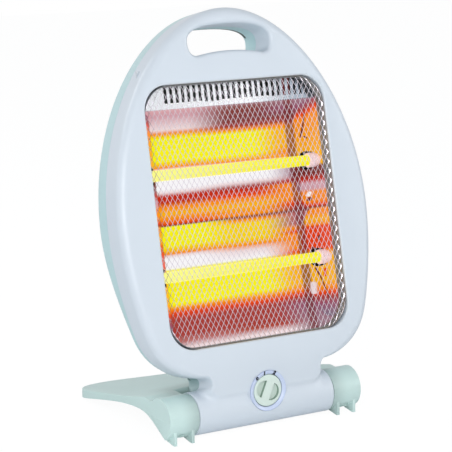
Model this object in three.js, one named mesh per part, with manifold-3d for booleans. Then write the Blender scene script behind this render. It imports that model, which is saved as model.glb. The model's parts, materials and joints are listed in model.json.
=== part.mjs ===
// Quartz heater: an egg-shaped body with two quartz tubes, held by its barrel on a wide foot.
// Millimetres, +Z up, the front faces -Y. The origin is on the floor, in the middle of the footprint.
import * as THREE from "three";
import { mergeGeometries, mergeVertices } from "three/addons/utils/BufferGeometryUtils.js";
import Module from "manifold-3d";

const wasm = await Module();
wasm.setup();

// Fits and making
const gap = 0.3; // between two pieces that touch
const overrun = 4; // how far a cutter runs past what it cuts
const roundSides = 24;
const smallSides = 8;
const bevelSteps = 2;

// Stance: the body leans back about the barrel's axis
const leanAngle = THREE.MathUtils.degToRad(12.9);
const axisHeight = 22.2;

// Egg outline of the body, seen from the front. Heights on the body are above the barrel's axis,
// depths are from it. Widths, and the heights of what the shells hold, are set from the egg.
const eggHalfWidth = 139.1;
const eggTop = 380;
const egg = {
  top: eggTop,
  waistHeight: 180,
  halfWidth: eggHalfWidth,
  crownRise: 110, // reach of the curve's handles, upwards from the waist
  crownReach: eggHalfWidth / 2, // and sideways from the top
  hipHeight: 78,
  hipHalfWidth: eggHalfWidth - 15.5,
  flankLead: 36,
  hipLead: 28,
  hipSlope: 8.6, // how far the outline draws in over one hip lead
  underLead: 25,
  underRise: 2.3,
  bottom: 33.1,
  rearHipInset: 5, // the rear shell's lower corners lie inside the front shell's
};

// Barrel at the bottom of the body, and the neck above it
const barrel = { radius: 20.7, halfLength: eggHalfWidth - 62.8 };
const neckHalfWidth = barrel.halfLength - 14.5;

// Body shells
const shell = {
  wall: 2.5,
  frontDepth: 27.3,
  rearDepth: 22,
  edgeRound: 9,
  seam: 0.4,
  neckTop: 48, // where the flat front starts to draw in to the barrel
  neckLead: 20,
};

// Window in the front shell, and its rim
const opening = {
  halfWidth: eggHalfWidth - 39.1,
  bottom: 61.5,
  top: eggTop - 70.5,
  cornerRadius: 25,
  chamfer: 2,
  rimWall: 2.2,
  rimDepth: 11.6,
};

// Handle hole through the top of both shells, at its narrowest; its lip widens to both faces
const handle = {
  halfWidth: 45.6,
  top: eggTop - 16.3,
  shoulder: eggTop - 32,
  shoulderLead: 12,
  topLead: 28,
  bottom: eggTop - 45.2,
  bottomHalfWidth: 36,
  bottomArch: 7,
  cornerLead: 7,
  cornerRise: 8,
  lip: 4,
};

// Guard grille: a tray of diamond mesh behind the window
const grille = {
  thickness: 1,
  setBack: 1.4, // of its face from the front shell's face
  flange: 5,
  rimWidth: 3,
  columns: 9,
  cellHeight: 36.8,
  strand: 2.6,
};

// End plates: from the troughs' ends they slant out to a fold, and on to the window's sides
const endPlate = {
  rearHalfWidth: opening.halfWidth - 22.8,
  rearDepth: 12.6,
  foldHalfWidth: opening.halfWidth - 13.5,
  foldDepth: -5,
  frontHalfWidth: opening.halfWidth - 2,
  frontDepth: -13,
  holeRadius: 9.2,
  sheet: 0.8,
};

// Reflector: a slotted strip over two troughs, one sheet
const reflector = {
  sheet: 0.8,
  frontDepth: 13,
  ridgeDepth: 2,
  bulge: 14.5,
  ridgeHeight: 178.7,
  stripBottom: opening.top - 22,
  stripTop: opening.top + 15.5,
  troughTop: opening.top + 1.5,
  troughBottom: opening.bottom + 7.5,
  lipBottom: opening.bottom - 15.5,
  outerLead: 6.5,
  ridgeLead: 17.3,
  slotPitch: 6.3,
  slotWidth: 3.3,
  slotBottom: opening.top - 17.5,
  slotTop: opening.top + 0.5,
  slotCount: 26,
  slotShift: 9.4, // of the whole row to the right, as the photo shows
  screwPlace: 72,
  screwInset: 4,
};

// Quartz tubes and what holds them. They sit a little to the left, as the photo shows.
const tube = {
  radius: 5.25,
  bore: 4.25,
  halfLength: opening.halfWidth - 6,
  depth: -3.5,
  shift: -2.2,
  upperHeight: reflector.ridgeHeight + 47.8,
  lowerHeight: reflector.ridgeHeight - 48.2,
};
const coil = {
  radius: 3.2,
  wire: 0.6,
  turns: 14,
  halfLength: tube.halfLength - 6,
  stepsPerTurn: 5,
  sides: 3,
};
const ceramic = {
  noseRadius: 7.3,
  noseStart: tube.halfLength - 5,
  neckRadius: 5.3,
  end: tube.halfLength + 13,
  socketDepth: 5.4,
  leadBore: 2.1,
};
const holder = { place: tube.halfLength + 8, thickness: 1, halfDepth: 9, overhang: 14, tabSize: 7 };
const terminal = {
  studRadius: 1.8,
  studLength: 16,
  ringRadius: 3.4,
  ringThickness: 1.4,
  tabLength: 9,
  tabWidth: 4,
};

// Dial, knob and rotary switch, on an axis of their own that nods down to the barrel's curve
const dial = {
  height: 11.5,
  depth: 22.4,
  nod: THREE.MathUtils.degToRad(11),
  ringRadius: 19.7,
  ringProud: 1.1,
  ringSeat: 2.2,
};
const knob = {
  radius: 15.6,
  face: -0.4, // along the dial's axis, from the surface that the ring lies in
  back: -6.6,
  wall: 2,
  edgeRound: 1.2,
  gripHalfWidth: 4.4,
  recessRadius: 8.5,
  recessDepth: 4,
  hubRadius: 4.2,
  restAngle: THREE.MathUtils.degToRad(23),
};
const well = { depth: 7.2, floor: 2.4, wall: 2 };
const rotarySwitch = {
  halfWidth: 11,
  halfHeight: 10,
  depth: 17,
  bushRadius: 4.4,
  shaftRadius: 2.5,
  bladeLength: 6,
  bladeWidth: 5,
  blade: 0.8,
};

// Foot
const foot = {
  capRadius: 20.1,
  halfWidth: barrel.halfLength + 31.7,
  seam: 0.3, // between barrel and cap
  wall: 2.5,
  plateFront: 37,
  tongueFront: 18, // the plate reaches further forward beside the neck, behind the barrel's ends
  barrelRoom: 1,
  neckRoom: 1.5,
  rampHeight: 35.6,
  rampDepth: 33,
  capLeave: THREE.MathUtils.degToRad(50),
  capLead: 9,
  rearHeight: 6.4,
  rearDepth: 168.5, // in the middle of the rear edge
  lobeDepth: 183,
  lobeInset: 36,
  cornerStart: 148,
  cornerLead: 24,
  lobeLead: 24,
  rampLead: 44,
  rampLeadFall: 11.5,
  rearLead: 60,
  rearLeadRise: 10.4,
  landStart: 164,
  landLift: 0.6,
  archDepth: 38,
  archLead: 37,
  landLead: 44,
  landLeadRise: 8.9,
  solidRear: 156,
  ribWidth: 2,
  ribSpacing: 52,
};
const capArch = {
  rearLead: 18,
  frontLead: 17,
  frontLeadRise: 8.4,
  frontAngle: THREE.MathUtils.degToRad(242.4),
};
const fin = {
  depth: 18.4,
  land: 3,
  back: 3.5,
  backHeight: 1.6,
  thickness: 3,
  top: 13,
  bite: 8,
  outerPlace: foot.halfWidth - 6.5,
  innerPlace: barrel.halfLength + 6.4,
};
const cradle = { place: foot.halfWidth - 8.5, thickness: 2.5 };
const pad = { halfWidth: 12, halfDepth: 5, place: foot.halfWidth - 30, depth: 171, thickness: 2.6 };

// Tilt pivots: a tube through each end of the barrel, with a washer and a nut inside the cap
const pivot = {
  radius: 5.5,
  bore: 3.6,
  inner: barrel.halfLength - 14.3,
  outer: foot.halfWidth - 5,
  flangeRadius: 11,
  flange: 2,
  washerRadius: 8,
  washer: 2,
  nutRadius: 8,
  nut: 5,
  nutSides: 6,
};

// Screws
const screw = { shankRadius: 1.4, headRadius: 3, headHeight: 2.1, bossWall: 2, headSpace: 0.6 };
const shellScrew = {
  length: 22,
  seatDepth: 8,
  fromHandle: 16.4,
  belowHandle: 3.8,
  fromFlank: 24.1,
  belowWaist: 2,
  fromNeck: 7.8,
  belowAxis: 7,
};
const coverScrew = {
  length: 14,
  place: cradle.place - 6,
  frontDepth: -12.6,
  frontSeat: 14.2,
  rearDepth: 16.2,
  rearSeat: 20.2,
};
const reflectorScrew = { length: 8 };
const shellScrewPlaces = [
  { x: handle.halfWidth + shellScrew.fromHandle, z: handle.bottom - shellScrew.belowHandle },
  { x: egg.halfWidth - shellScrew.fromFlank, z: egg.waistHeight - shellScrew.belowWaist },
  { x: neckHalfWidth - shellScrew.fromNeck, z: -shellScrew.belowAxis },
];

// Electrical pieces in the foot of the body
const block = { halfWidth: 15, depth: 9, halfHeight: 6.5, place: -32, height: 2, back: 12.5 };
const tipSwitch = {
  place: 33,
  halfWidth: 7,
  plate: 1.6,
  pinRadius: 1.2,
  pinDepth: -2,
  pinHeight: 38,
  plateHalfDepth: 5,
  plateTop: 5,
  plateDrop: 22,
  back: 13,
};
const tipWeight = { eyeRadius: 2.6, armLength: 15, armRadius: 1, radius: 4.4, halfLength: 4.5 };
const microSwitch = { halfWidth: 6, depth: 6, height: 14 };
const cutout = { radius: 7, thickness: 6, place: 48, height: opening.bottom - 1, capRadius: 4.5, cap: 2.4 };
const gland = {
  radius: 6,
  bore: 4.3,
  collarRadius: 8,
  collar: 3,
  outside: 8,
  place: -30,
  height: 50,
  inside: 4,
};

// Wires, and the points [across, depth, height] that they run through between their ends: up the
// neck, out below the troughs, and up beside the tube holders
const wire = { radius: 1.1, sides: 4, stepsPerPoint: 3 };
const besideHolder = holder.place + 5;
const below = opening.bottom;
const wirePoints = {
  link: [[besideHolder, -2.5, reflector.ridgeHeight]],
  neutral: [
    [-21, 14, 22],
    [-14, 16.2, 36],
    [12, 16, below - 12.5],
    [neckHalfWidth - 1.8, 11, below - 8.5],
    [besideHolder - 15, 9, below + 3.5],
    [besideHolder, 2, below + 26.5],
  ],
  upperLive: [
    [-16, 12, 27],
    [11.8 - neckHalfWidth, 8, below - 17.5],
    [15 - besideHolder, 8, below + 2.5],
    [-besideHolder, 6, below + 30.5],
    [-besideHolder - 1, 8, tube.lowerHeight],
    [-besideHolder - 1, 5, reflector.ridgeHeight],
  ],
  lowerLive: [
    [-6, 12.6, 27],
    [13.8 - neckHalfWidth, 12.5, below - 12.5],
    [22 - besideHolder, 9, below - 5.5],
    [5 - besideHolder, 3, below + 14.5],
  ],
  cutout: [
    [47, 9, 17],
    [52, 7, 38],
    [50, 2.5, below - 5.5],
  ],
};

// Vents in the rear shell
const vent = {
  halfLength: 30,
  halfHeight: 2.2,
  pitch: 9,
  rows: 4,
  column: 38,
  upperStart: opening.top - 43.5,
  lowerStart: opening.bottom + 14.5,
};

// Small tools for shapes

function facesOut(positions, triangles) {
  let volume = 0;
  const [a, b, c] = [new THREE.Vector3(), new THREE.Vector3(), new THREE.Vector3()];
  for (let i = 0; i < triangles.length; i += 3) {
    a.fromArray(positions, 3 * triangles[i]);
    b.fromArray(positions, 3 * triangles[i + 1]);
    c.fromArray(positions, 3 * triangles[i + 2]);
    volume += a.dot(b.cross(c));
  }
  return volume > 0;
}

function solid(geometry) {
  const plain = new THREE.BufferGeometry();
  plain.setAttribute("position", geometry.getAttribute("position").clone());
  if (geometry.index) plain.setIndex(geometry.index.clone());
  const merged = mergeVertices(plain);
  const positions = merged.getAttribute("position").array;
  const triangles = [];
  for (let i = 0; i < merged.index.count; i += 3) {
    const [a, b, c] = [0, 1, 2].map((k) => merged.index.getX(i + k));
    if (a !== b && b !== c && c !== a) triangles.push(a, b, c);
  }
  if (!facesOut(positions, triangles)) triangles.reverse();
  const mesh = new wasm.Mesh({
    numProp: 3,
    vertProperties: new Float32Array(positions),
    triVerts: new Uint32Array(triangles),
  });
  return new wasm.Manifold(mesh);
}

function geometryOf(shape) {
  const mesh = shape.getMesh();
  const geometry = new THREE.BufferGeometry();
  geometry.setAttribute("position", new THREE.BufferAttribute(new Float32Array(mesh.vertProperties), 3));
  geometry.setIndex(new THREE.BufferAttribute(new Uint32Array(mesh.triVerts), 1));
  geometry.computeVertexNormals();
  return geometry;
}

function joined(...shapes) {
  return shapes.flat().reduce((whole, shape) => whole.add(shape));
}

function cut(shape, ...cutters) {
  return cutters.flat().reduce((left, cutter) => left.subtract(cutter), shape);
}

function box([x0, x1], [y0, y1], [z0, z1]) {
  const geometry = new THREE.BoxGeometry(x1 - x0, y1 - y0, z1 - z0);
  return solid(geometry.translate((x0 + x1) / 2, (y0 + y1) / 2, (z0 + z1) / 2));
}

// A rod along one axis, from start to end, through the point given by its other two coordinates
function rod(axis, radius, start, end, [u, v] = [0, 0], sides = roundSides) {
  const geometry = new THREE.CylinderGeometry(radius, radius, end - start, sides);
  if (axis === "x") geometry.rotateZ(-Math.PI / 2).translate((start + end) / 2, u, v);
  if (axis === "y") geometry.translate(u, (start + end) / 2, v);
  if (axis === "z") geometry.rotateX(Math.PI / 2).translate(u, v, (start + end) / 2);
  return solid(geometry);
}

// A turned piece: its profile holds [radius, place along the axis]
function turned(axis, profile, [u, v] = [0, 0], sides = roundSides) {
  const geometry = new THREE.LatheGeometry(
    profile.map(([radius, along]) => new THREE.Vector2(radius, along)),
    sides,
  );
  if (axis === "x") geometry.rotateZ(-Math.PI / 2).translate(0, u, v);
  if (axis === "y") geometry.translate(u, 0, v);
  if (axis === "z") geometry.rotateX(Math.PI / 2).translate(u, v, 0);
  return solid(geometry);
}

function ring(axis, radius, bore, start, end, place, sides) {
  const profile = [
    [bore, start],
    [radius, start],
    [radius, end],
    [bore, end],
    [bore, start],
  ];
  return turned(axis, profile, place, sides);
}

function rounding(round, steps = bevelSteps) {
  if (!round) return { bevelEnabled: false };
  const sizes = { bevelThickness: round, bevelSize: round, bevelOffset: -round };
  return { bevelEnabled: true, bevelSegments: steps, ...sizes };
}

function extruded(points, depth, edges = rounding(0)) {
  return new THREE.ExtrudeGeometry(new THREE.Shape(points), { depth, ...edges });
}

// An outline drawn in x and z, made solid from its front to its back, with rounded edges
function faceOn(points, front, back, round = 0, steps = bevelSteps) {
  const geometry = extruded(points, back - front - 2 * round, rounding(round, steps));
  return solid(geometry.rotateX(Math.PI / 2).translate(0, back - round, 0));
}

// A skin drawn through outlines in x and z, each at its own place in y, and closed at both ends
function lofted(rings) {
  const count = rings[0].outline.length;
  const positions = rings.flatMap(({ outline, y }) => outline.flatMap((p) => [p.x, y, p.y]));
  const triangles = [];
  for (let i = 0; i < rings.length - 1; i += 1) {
    for (let k = 0; k < count; k += 1) {
      const [a, b] = [i * count + k, i * count + ((k + 1) % count)];
      triangles.push(a, b, a + count, b, b + count, a + count);
    }
  }
  const last = (rings.length - 1) * count;
  const faces = THREE.ShapeUtils.triangulateShape(rings[0].outline, []);
  const towardsFront = THREE.ShapeUtils.isClockWise(rings[0].outline);
  faces.forEach(([a, b, c]) => {
    triangles.push(...(towardsFront ? [a, b, c] : [a, c, b]));
    triangles.push(...(towardsFront ? [last + a, last + c, last + b] : [last + a, last + b, last + c]));
  });
  const geometry = new THREE.BufferGeometry();
  geometry.setAttribute("position", new THREE.Float32BufferAttribute(positions, 3));
  geometry.setIndex(triangles);
  return solid(geometry);
}

// An outline drawn in y and z, made solid from x = start to x = end
function sideOn(points, start, end) {
  const geometry = extruded(points, end - start);
  const turn = new THREE.Matrix4().makeBasis(
    new THREE.Vector3(0, 1, 0),
    new THREE.Vector3(0, 0, 1),
    new THREE.Vector3(1, 0, 0),
  );
  return solid(geometry.applyMatrix4(turn).translate(start, 0, 0));
}

// An outline drawn in x and y, made solid from z = start to z = end
function fromAbove(points, start, end) {
  return solid(extruded(points, end - start).translate(0, 0, start));
}

function point(u, v) {
  return new THREE.Vector2(u, v);
}

function curve(start, lead, trail, end, steps) {
  return new THREE.CubicBezierCurve(start, lead, trail, end).getPoints(steps);
}

function arc(centre, radius, fromAngle, toAngle, steps) {
  return Array.from({ length: steps + 1 }, (_, i) => {
    const angle = fromAngle + ((toAngle - fromAngle) * i) / steps;
    return point(centre.x + radius * Math.cos(angle), centre.y + radius * Math.sin(angle));
  });
}

function mirrored(half) {
  const others = half.filter((p) => Math.abs(p.x) > Number.EPSILON).map((p) => point(-p.x, p.y));
  return [...half, ...others.reverse()];
}

// The same outline drawn in by a distance, or let out by a negative one
function inset(points, distance) {
  const inwards = THREE.ShapeUtils.isClockWise(points) ? -1 : 1;
  return points.map((p, i) => {
    const before = points[(i + points.length - 1) % points.length];
    const after = points[(i + 1) % points.length];
    const a = point(before.y - p.y, p.x - before.x).normalize();
    const b = point(p.y - after.y, after.x - p.x).normalize();
    const middle = a.clone().add(b).normalize();
    return p.clone().addScaledVector(middle, (inwards * distance) / middle.dot(a));
  });
}

function roundedRectangle(left, right, bottom, top, radius, steps = 4) {
  const quarter = Math.PI / 2;
  return [
    ...arc(point(right - radius, top - radius), radius, 0, quarter, steps),
    ...arc(point(left + radius, top - radius), radius, quarter, 2 * quarter, steps),
    ...arc(point(left + radius, bottom + radius), radius, 2 * quarter, 3 * quarter, steps),
    ...arc(point(right - radius, bottom + radius), radius, 3 * quarter, 4 * quarter, steps),
  ];
}

// A sheet's section: a line given its thickness on both sides
function sheetSection(line, thickness) {
  const sides = [1, -1].map((side) =>
    line.map((p, i) => {
      const along = line[Math.min(i + 1, line.length - 1)].clone().sub(line[Math.max(i - 1, 0)]).normalize();
      return point(p.x - (side * along.y * thickness) / 2, p.y + (side * along.x * thickness) / 2);
    }),
  );
  return [...sides[0], ...sides[1].reverse()];
}

function bothSides(make) {
  return [-1, 1].map((side) => make(side));
}

// A span on the right or the left side, whichever way round its ends are given
function span(side, from, to) {
  return side > 0 ? [from, to] : [-to, -from];
}

const heater = new THREE.Group();
heater.name = "quartz_heater";
const footGroup = new THREE.Group();
const bodyGroup = new THREE.Group();
const dialGroup = new THREE.Group();
const knobGroup = new THREE.Group();
const tipGroup = new THREE.Group();
bodyGroup.position.z = axisHeight;
bodyGroup.rotation.x = -leanAngle;
dialGroup.position.set(0, -dial.depth, dial.height);
dialGroup.rotation.x = Math.PI / 2 + dial.nod;
knobGroup.rotation.z = -knob.restAngle;
tipGroup.position.set(tipSwitch.place, tipSwitch.pinDepth, tipSwitch.pinHeight);
tipGroup.rotation.x = leanAngle;
heater.add(footGroup, bodyGroup);
bodyGroup.add(dialGroup, tipGroup);
dialGroup.add(knobGroup);

// Finishes
const finish = {
  whitePlastic: { color: 0xdfe6ec, roughness: 0.42, metalness: 0 },
  mintPlastic: { color: 0xc6dcd6, roughness: 0.45, metalness: 0 },
  knobPlastic: { color: 0xd3e4dc, roughness: 0.4, metalness: 0 },
  dialPlastic: { color: 0xcdd8f2, roughness: 0.4, metalness: 0 },
  chromeWire: { color: 0xd8dadd, roughness: 0.25, metalness: 1 },
  aluminium: { color: 0xd9dcdf, roughness: 0.2, metalness: 1 },
  zincSteel: { color: 0xb4b7ba, roughness: 0.4, metalness: 1 },
  brass: { color: 0xc9a85a, roughness: 0.35, metalness: 1 },
  quartz: { color: 0xf4efe6, roughness: 0.1, metalness: 0 },
  hotWire: { color: 0xffa030, roughness: 0.6, metalness: 0.4 },
  whiteCeramic: { color: 0xf1ece6, roughness: 0.5, metalness: 0 },
  blackRubber: { color: 0x2b2c2e, roughness: 0.8, metalness: 0 },
  darkPlastic: { color: 0x33363a, roughness: 0.55, metalness: 0 },
  palePlastic: { color: 0xe4e0d2, roughness: 0.5, metalness: 0 },
  fibre: { color: 0x8a3b2c, roughness: 0.8, metalness: 0 },
  brownSleeve: { color: 0x7a4b32, roughness: 0.6, metalness: 0 },
  blueSleeve: { color: 0x3f66a8, roughness: 0.6, metalness: 0 },
};

function place(group, name, shape, look) {
  const mesh = new THREE.Mesh(geometryOf(shape), new THREE.MeshStandardMaterial(look));
  mesh.name = name;
  group.add(mesh);
  return mesh;
}

// Body outline and sections

const notchRadius = (egg.bottom - barrel.radius) / 2;
const notchPlace = neckHalfWidth + notchRadius;

function bodyOutline(hipInset) {
  const hip = point(egg.hipHalfWidth - hipInset, egg.hipHeight);
  const waist = point(egg.halfWidth, egg.waistHeight);
  const slope = egg.hipSlope / egg.hipLead;
  const notchCentre = point(notchPlace, barrel.radius + notchRadius);
  const half = [
    ...curve(
      point(0, egg.top),
      point(egg.crownReach, egg.top),
      point(waist.x, waist.y + egg.crownRise),
      waist,
      9,
    ),
    ...curve(
      waist,
      point(waist.x, waist.y - egg.flankLead),
      point(hip.x + slope * egg.hipLead, hip.y + egg.hipLead),
      hip,
      4,
    ).slice(1),
    ...curve(
      hip,
      point(hip.x - slope * egg.hipLead, hip.y - egg.hipLead),
      point(notchPlace + egg.underLead - hipInset, egg.bottom + egg.underRise + hipInset / 2),
      point(notchPlace, egg.bottom),
      6,
    ).slice(1),
    ...arc(notchCentre, notchRadius, Math.PI / 2, (3 * Math.PI) / 2, 4).slice(1),
    point(notchPlace, -barrel.radius / 2),
  ];
  return mirrored(half);
}

// The neck's section: flat front and back above, drawn in to the barrel's circle below
function neckSection() {
  const top = egg.top + overrun;
  const front = -shell.frontDepth;
  return [
    point(front - overrun, top),
    point(front - overrun, shell.neckTop + overrun),
    ...curve(
      point(front, shell.neckTop),
      point(front, shell.neckTop - shell.neckLead),
      point(-barrel.radius, shell.neckLead),
      point(-barrel.radius, 0),
      6,
    ),
    point(-barrel.radius / 2, -barrel.radius / 2),
    point(barrel.radius / 2, -barrel.radius / 2),
    point(barrel.radius, 0),
    point(barrel.radius, shell.neckLead / 2),
    point(shell.rearDepth, shell.neckTop),
    point(shell.rearDepth + overrun, shell.neckTop + overrun),
    point(shell.rearDepth + overrun, top),
  ];
}

const bodyWidth = egg.halfWidth + overrun;

function bodyBlock(hipInset, thinned) {
  const outline = inset(bodyOutline(hipInset), thinned);
  const section = inset(neckSection(), thinned);
  const round = shell.edgeRound - thinned;
  const front = thinned - shell.frontDepth;
  const back = shell.rearDepth - thinned;
  const flat = faceOn(outline, front, back, round, thinned ? 1 : bevelSteps);
  const drawnIn = flat.intersect(sideOn(section, -bodyWidth, bodyWidth));
  const end = barrel.halfLength - thinned;
  return drawnIn.add(rod("x", barrel.radius - thinned, -end, end));
}

const bodyHeights = [-egg.top, egg.top + overrun];
const halfSpace = (front, back) => box([-bodyWidth, bodyWidth], [front, back], bodyHeights);
const frontHalf = halfSpace(-shell.frontDepth - overrun, -shell.seam / 2);
const rearHalf = halfSpace(shell.seam / 2, shell.rearDepth + overrun);

function windowOutline(letOut) {
  return roundedRectangle(
    -opening.halfWidth - letOut,
    opening.halfWidth + letOut,
    opening.bottom - letOut,
    opening.top + letOut,
    opening.cornerRadius + letOut,
  );
}

// What the window's bevelled edge is cut with
function windowBevel() {
  const { chamfer } = opening;
  return faceOn(windowOutline(chamfer), -shell.frontDepth - overrun, chamfer - shell.frontDepth, chamfer, 1);
}

function handleOutline(letOut) {
  const half = [
    ...curve(
      point(0, handle.top),
      point(handle.topLead, handle.top),
      point(handle.halfWidth, handle.shoulder + handle.shoulderLead),
      point(handle.halfWidth, handle.shoulder),
      5,
    ),
    ...curve(
      point(handle.halfWidth, handle.shoulder),
      point(handle.halfWidth, handle.shoulder - handle.cornerRise),
      point(handle.bottomHalfWidth + handle.cornerLead, handle.bottom),
      point(handle.bottomHalfWidth, handle.bottom),
      4,
    ).slice(1),
    ...new THREE.QuadraticBezierCurve(
      point(handle.bottomHalfWidth, handle.bottom),
      point(0, handle.bottom + handle.bottomArch),
      point(-handle.bottomHalfWidth, handle.bottom),
    )
      .getPoints(6)
      .slice(1, 4),
  ];
  return inset(mirrored(half), -letOut);
}

// The handle hole narrows from both faces to its middle, with a round lip, and has a wall round it
function handleLoft(letOut, ends) {
  const lips = Array.from({ length: 3 }, (_, i) => {
    const angle = (i * Math.PI) / 4;
    const outline = handleOutline(letOut + handle.lip * (1 - Math.sin(angle)));
    return { outline, depth: handle.lip * (1 - Math.cos(angle)) };
  });
  const frontLip = lips.map(({ outline, depth }) => ({ outline, y: depth - shell.frontDepth }));
  const rearLip = lips.map(({ outline, depth }) => ({ outline, y: shell.rearDepth - depth }));
  const rings = [...frontLip, ...rearLip.reverse()];
  rings[0].y -= ends;
  rings[rings.length - 1].y += ends;
  return lofted(rings);
}

const handleWall = () => handleLoft(shell.wall, 0).intersect(bodyBlock(0, 0));

// Where the shell screws run, seen from the front
const shellScrewSpots = shellScrewPlaces.flatMap(({ x, z }) => bothSides((side) => ({ x: side * x, z })));
const screwHole = screw.shankRadius + gap;
const headHole = screw.headRadius + screw.headSpace;
const postRadius = screwHole + screw.bossWall;
const reflectorScrewSpots = bothSides((side) => side * reflector.screwPlace).flatMap((x) => [
  { x, z: reflector.stripTop - reflector.screwInset },
  { x, z: reflector.lipBottom + reflector.screwInset },
]);
const reflectorBack = -reflector.frontDepth + reflector.sheet / 2;
const reflectorFront = -reflector.frontDepth - reflector.sheet / 2;

// Places on the dial's axis, given in the body's frame
function dialPlace(shape) {
  const turn = new THREE.Matrix4().makeRotationX(Math.PI / 2 + dial.nod);
  return shape.transform(turn.setPosition(0, -dial.depth, dial.height).elements);
}

const wellRadius = knob.radius + 2 * gap;
const wellBack = -well.depth - well.floor;
const dialCup = () => dialPlace(rod("z", dial.ringRadius + gap + well.wall, wellBack, -dial.ringSeat / 2));
const dialCuts = () => [
  dialPlace(rod("z", dial.ringRadius + gap, -dial.ringSeat, shell.frontDepth)),
  dialPlace(rod("z", wellRadius, -well.depth, overrun)),
  dialPlace(rod("z", rotarySwitch.bushRadius + gap, wellBack - overrun, overrun)),
];

const pivotHole = pivot.radius + gap;
const pivotBores = () => rod("x", pivotHole, -barrel.halfLength - overrun, barrel.halfLength + overrun);

function frontShell() {
  const hollow = bodyBlock(0, shell.wall);
  const skin = cut(bodyBlock(0, 0), hollow);
  const rimBack = opening.rimDepth - shell.frontDepth;
  const rim = cut(
    faceOn(windowOutline(opening.rimWall), shell.wall / 2 - shell.frontDepth, rimBack),
    faceOn(windowOutline(0), -shell.frontDepth - overrun, 0),
  );
  const front = shell.wall / 2 - shell.frontDepth;
  const posts = shellScrewSpots.map(({ x, z }) => {
    const start = z > barrel.radius ? front : shell.wall / 2 - Math.sqrt(barrel.radius ** 2 - z ** 2);
    return rod("y", postRadius, start, 0, [x, z], smallSides);
  });
  const reflectorPosts = reflectorScrewSpots.map(({ x, z }) =>
    rod("y", postRadius, front, reflectorFront - gap, [x, z], smallSides),
  );
  const pilots = shellScrewSpots.map(({ x, z }) =>
    rod("y", screwHole, shellScrew.seatDepth - shellScrew.length - gap, overrun, [x, z], smallSides),
  );
  const reflectorPilots = reflectorScrewSpots.map(({ x, z }) =>
    rod("y", screwHole, reflectorBack - reflectorScrew.length - gap, 0, [x, z], smallSides),
  );
  const whole = joined(skin, rim, handleWall(), posts, reflectorPosts, dialCup());
  const opened = cut(
    whole,
    handleLoft(0, overrun),
    faceOn(windowOutline(0), -shell.frontDepth - overrun, rimBack + overrun),
    windowBevel(),
    pilots,
    reflectorPilots,
    dialCuts(),
    pivotBores(),
  );
  return opened.intersect(frontHalf);
}

function ventCuts() {
  const rows = Array.from({ length: vent.rows }, (_, i) => i * vent.pitch);
  const starts = [vent.upperStart, vent.lowerStart];
  return bothSides((side) => side * vent.column).flatMap((x) =>
    starts.flatMap((start) =>
      rows.map((rise) => {
        const z = start + rise;
        const [left, right] = [x - vent.halfLength, x + vent.halfLength];
        const [bottom, top] = [z - vent.halfHeight, z + vent.halfHeight];
        const slot = roundedRectangle(left, right, bottom, top, vent.halfHeight, 1);
        return faceOn(slot, shell.rearDepth - shell.wall - overrun, shell.rearDepth + overrun);
      }),
    ),
  );
}

function rearShell() {
  const skin = cut(bodyBlock(egg.rearHipInset, 0), bodyBlock(egg.rearHipInset, shell.wall));
  const seat = shellScrew.seatDepth;
  const bosses = shellScrewSpots.map(({ x, z }) => {
    const end = z > barrel.radius ? shell.rearDepth : Math.sqrt(barrel.radius ** 2 - z ** 2);
    return rod("y", headHole + screw.bossWall, 0, end - shell.wall / 2, [x, z], smallSides);
  });
  const holes = shellScrewSpots.flatMap(({ x, z }) => [
    rod("y", screwHole, -overrun, shell.rearDepth + overrun, [x, z], smallSides),
    rod("y", headHole, seat, shell.rearDepth + overrun, [x, z], smallSides),
  ]);
  const blockSeat = box(
    [block.place - block.halfWidth / 2, block.place + block.halfWidth / 2],
    [block.back + gap, barrel.radius - shell.wall / 2],
    [block.height - block.halfHeight / 2, block.height + block.halfHeight / 2],
  );
  const tipSeat = box(
    [tipSwitch.place - tipSwitch.halfWidth / 2, tipSwitch.place + tipSwitch.halfWidth / 2],
    [tipSwitch.back + gap, shell.rearDepth - shell.wall / 2],
    [tipSwitch.pinHeight - tipSwitch.plateDrop / 2, tipSwitch.pinHeight],
  );
  const glandPlace = [gland.place, gland.height];
  const glandHole = rod("y", gland.radius + gap, 0, shell.rearDepth + overrun, glandPlace);
  const whole = joined(skin, handleWall(), bosses, blockSeat, tipSeat);
  return cut(whole, handleLoft(0, overrun), holes, glandHole, pivotBores(), ventCuts()).intersect(rearHalf);
}

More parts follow.
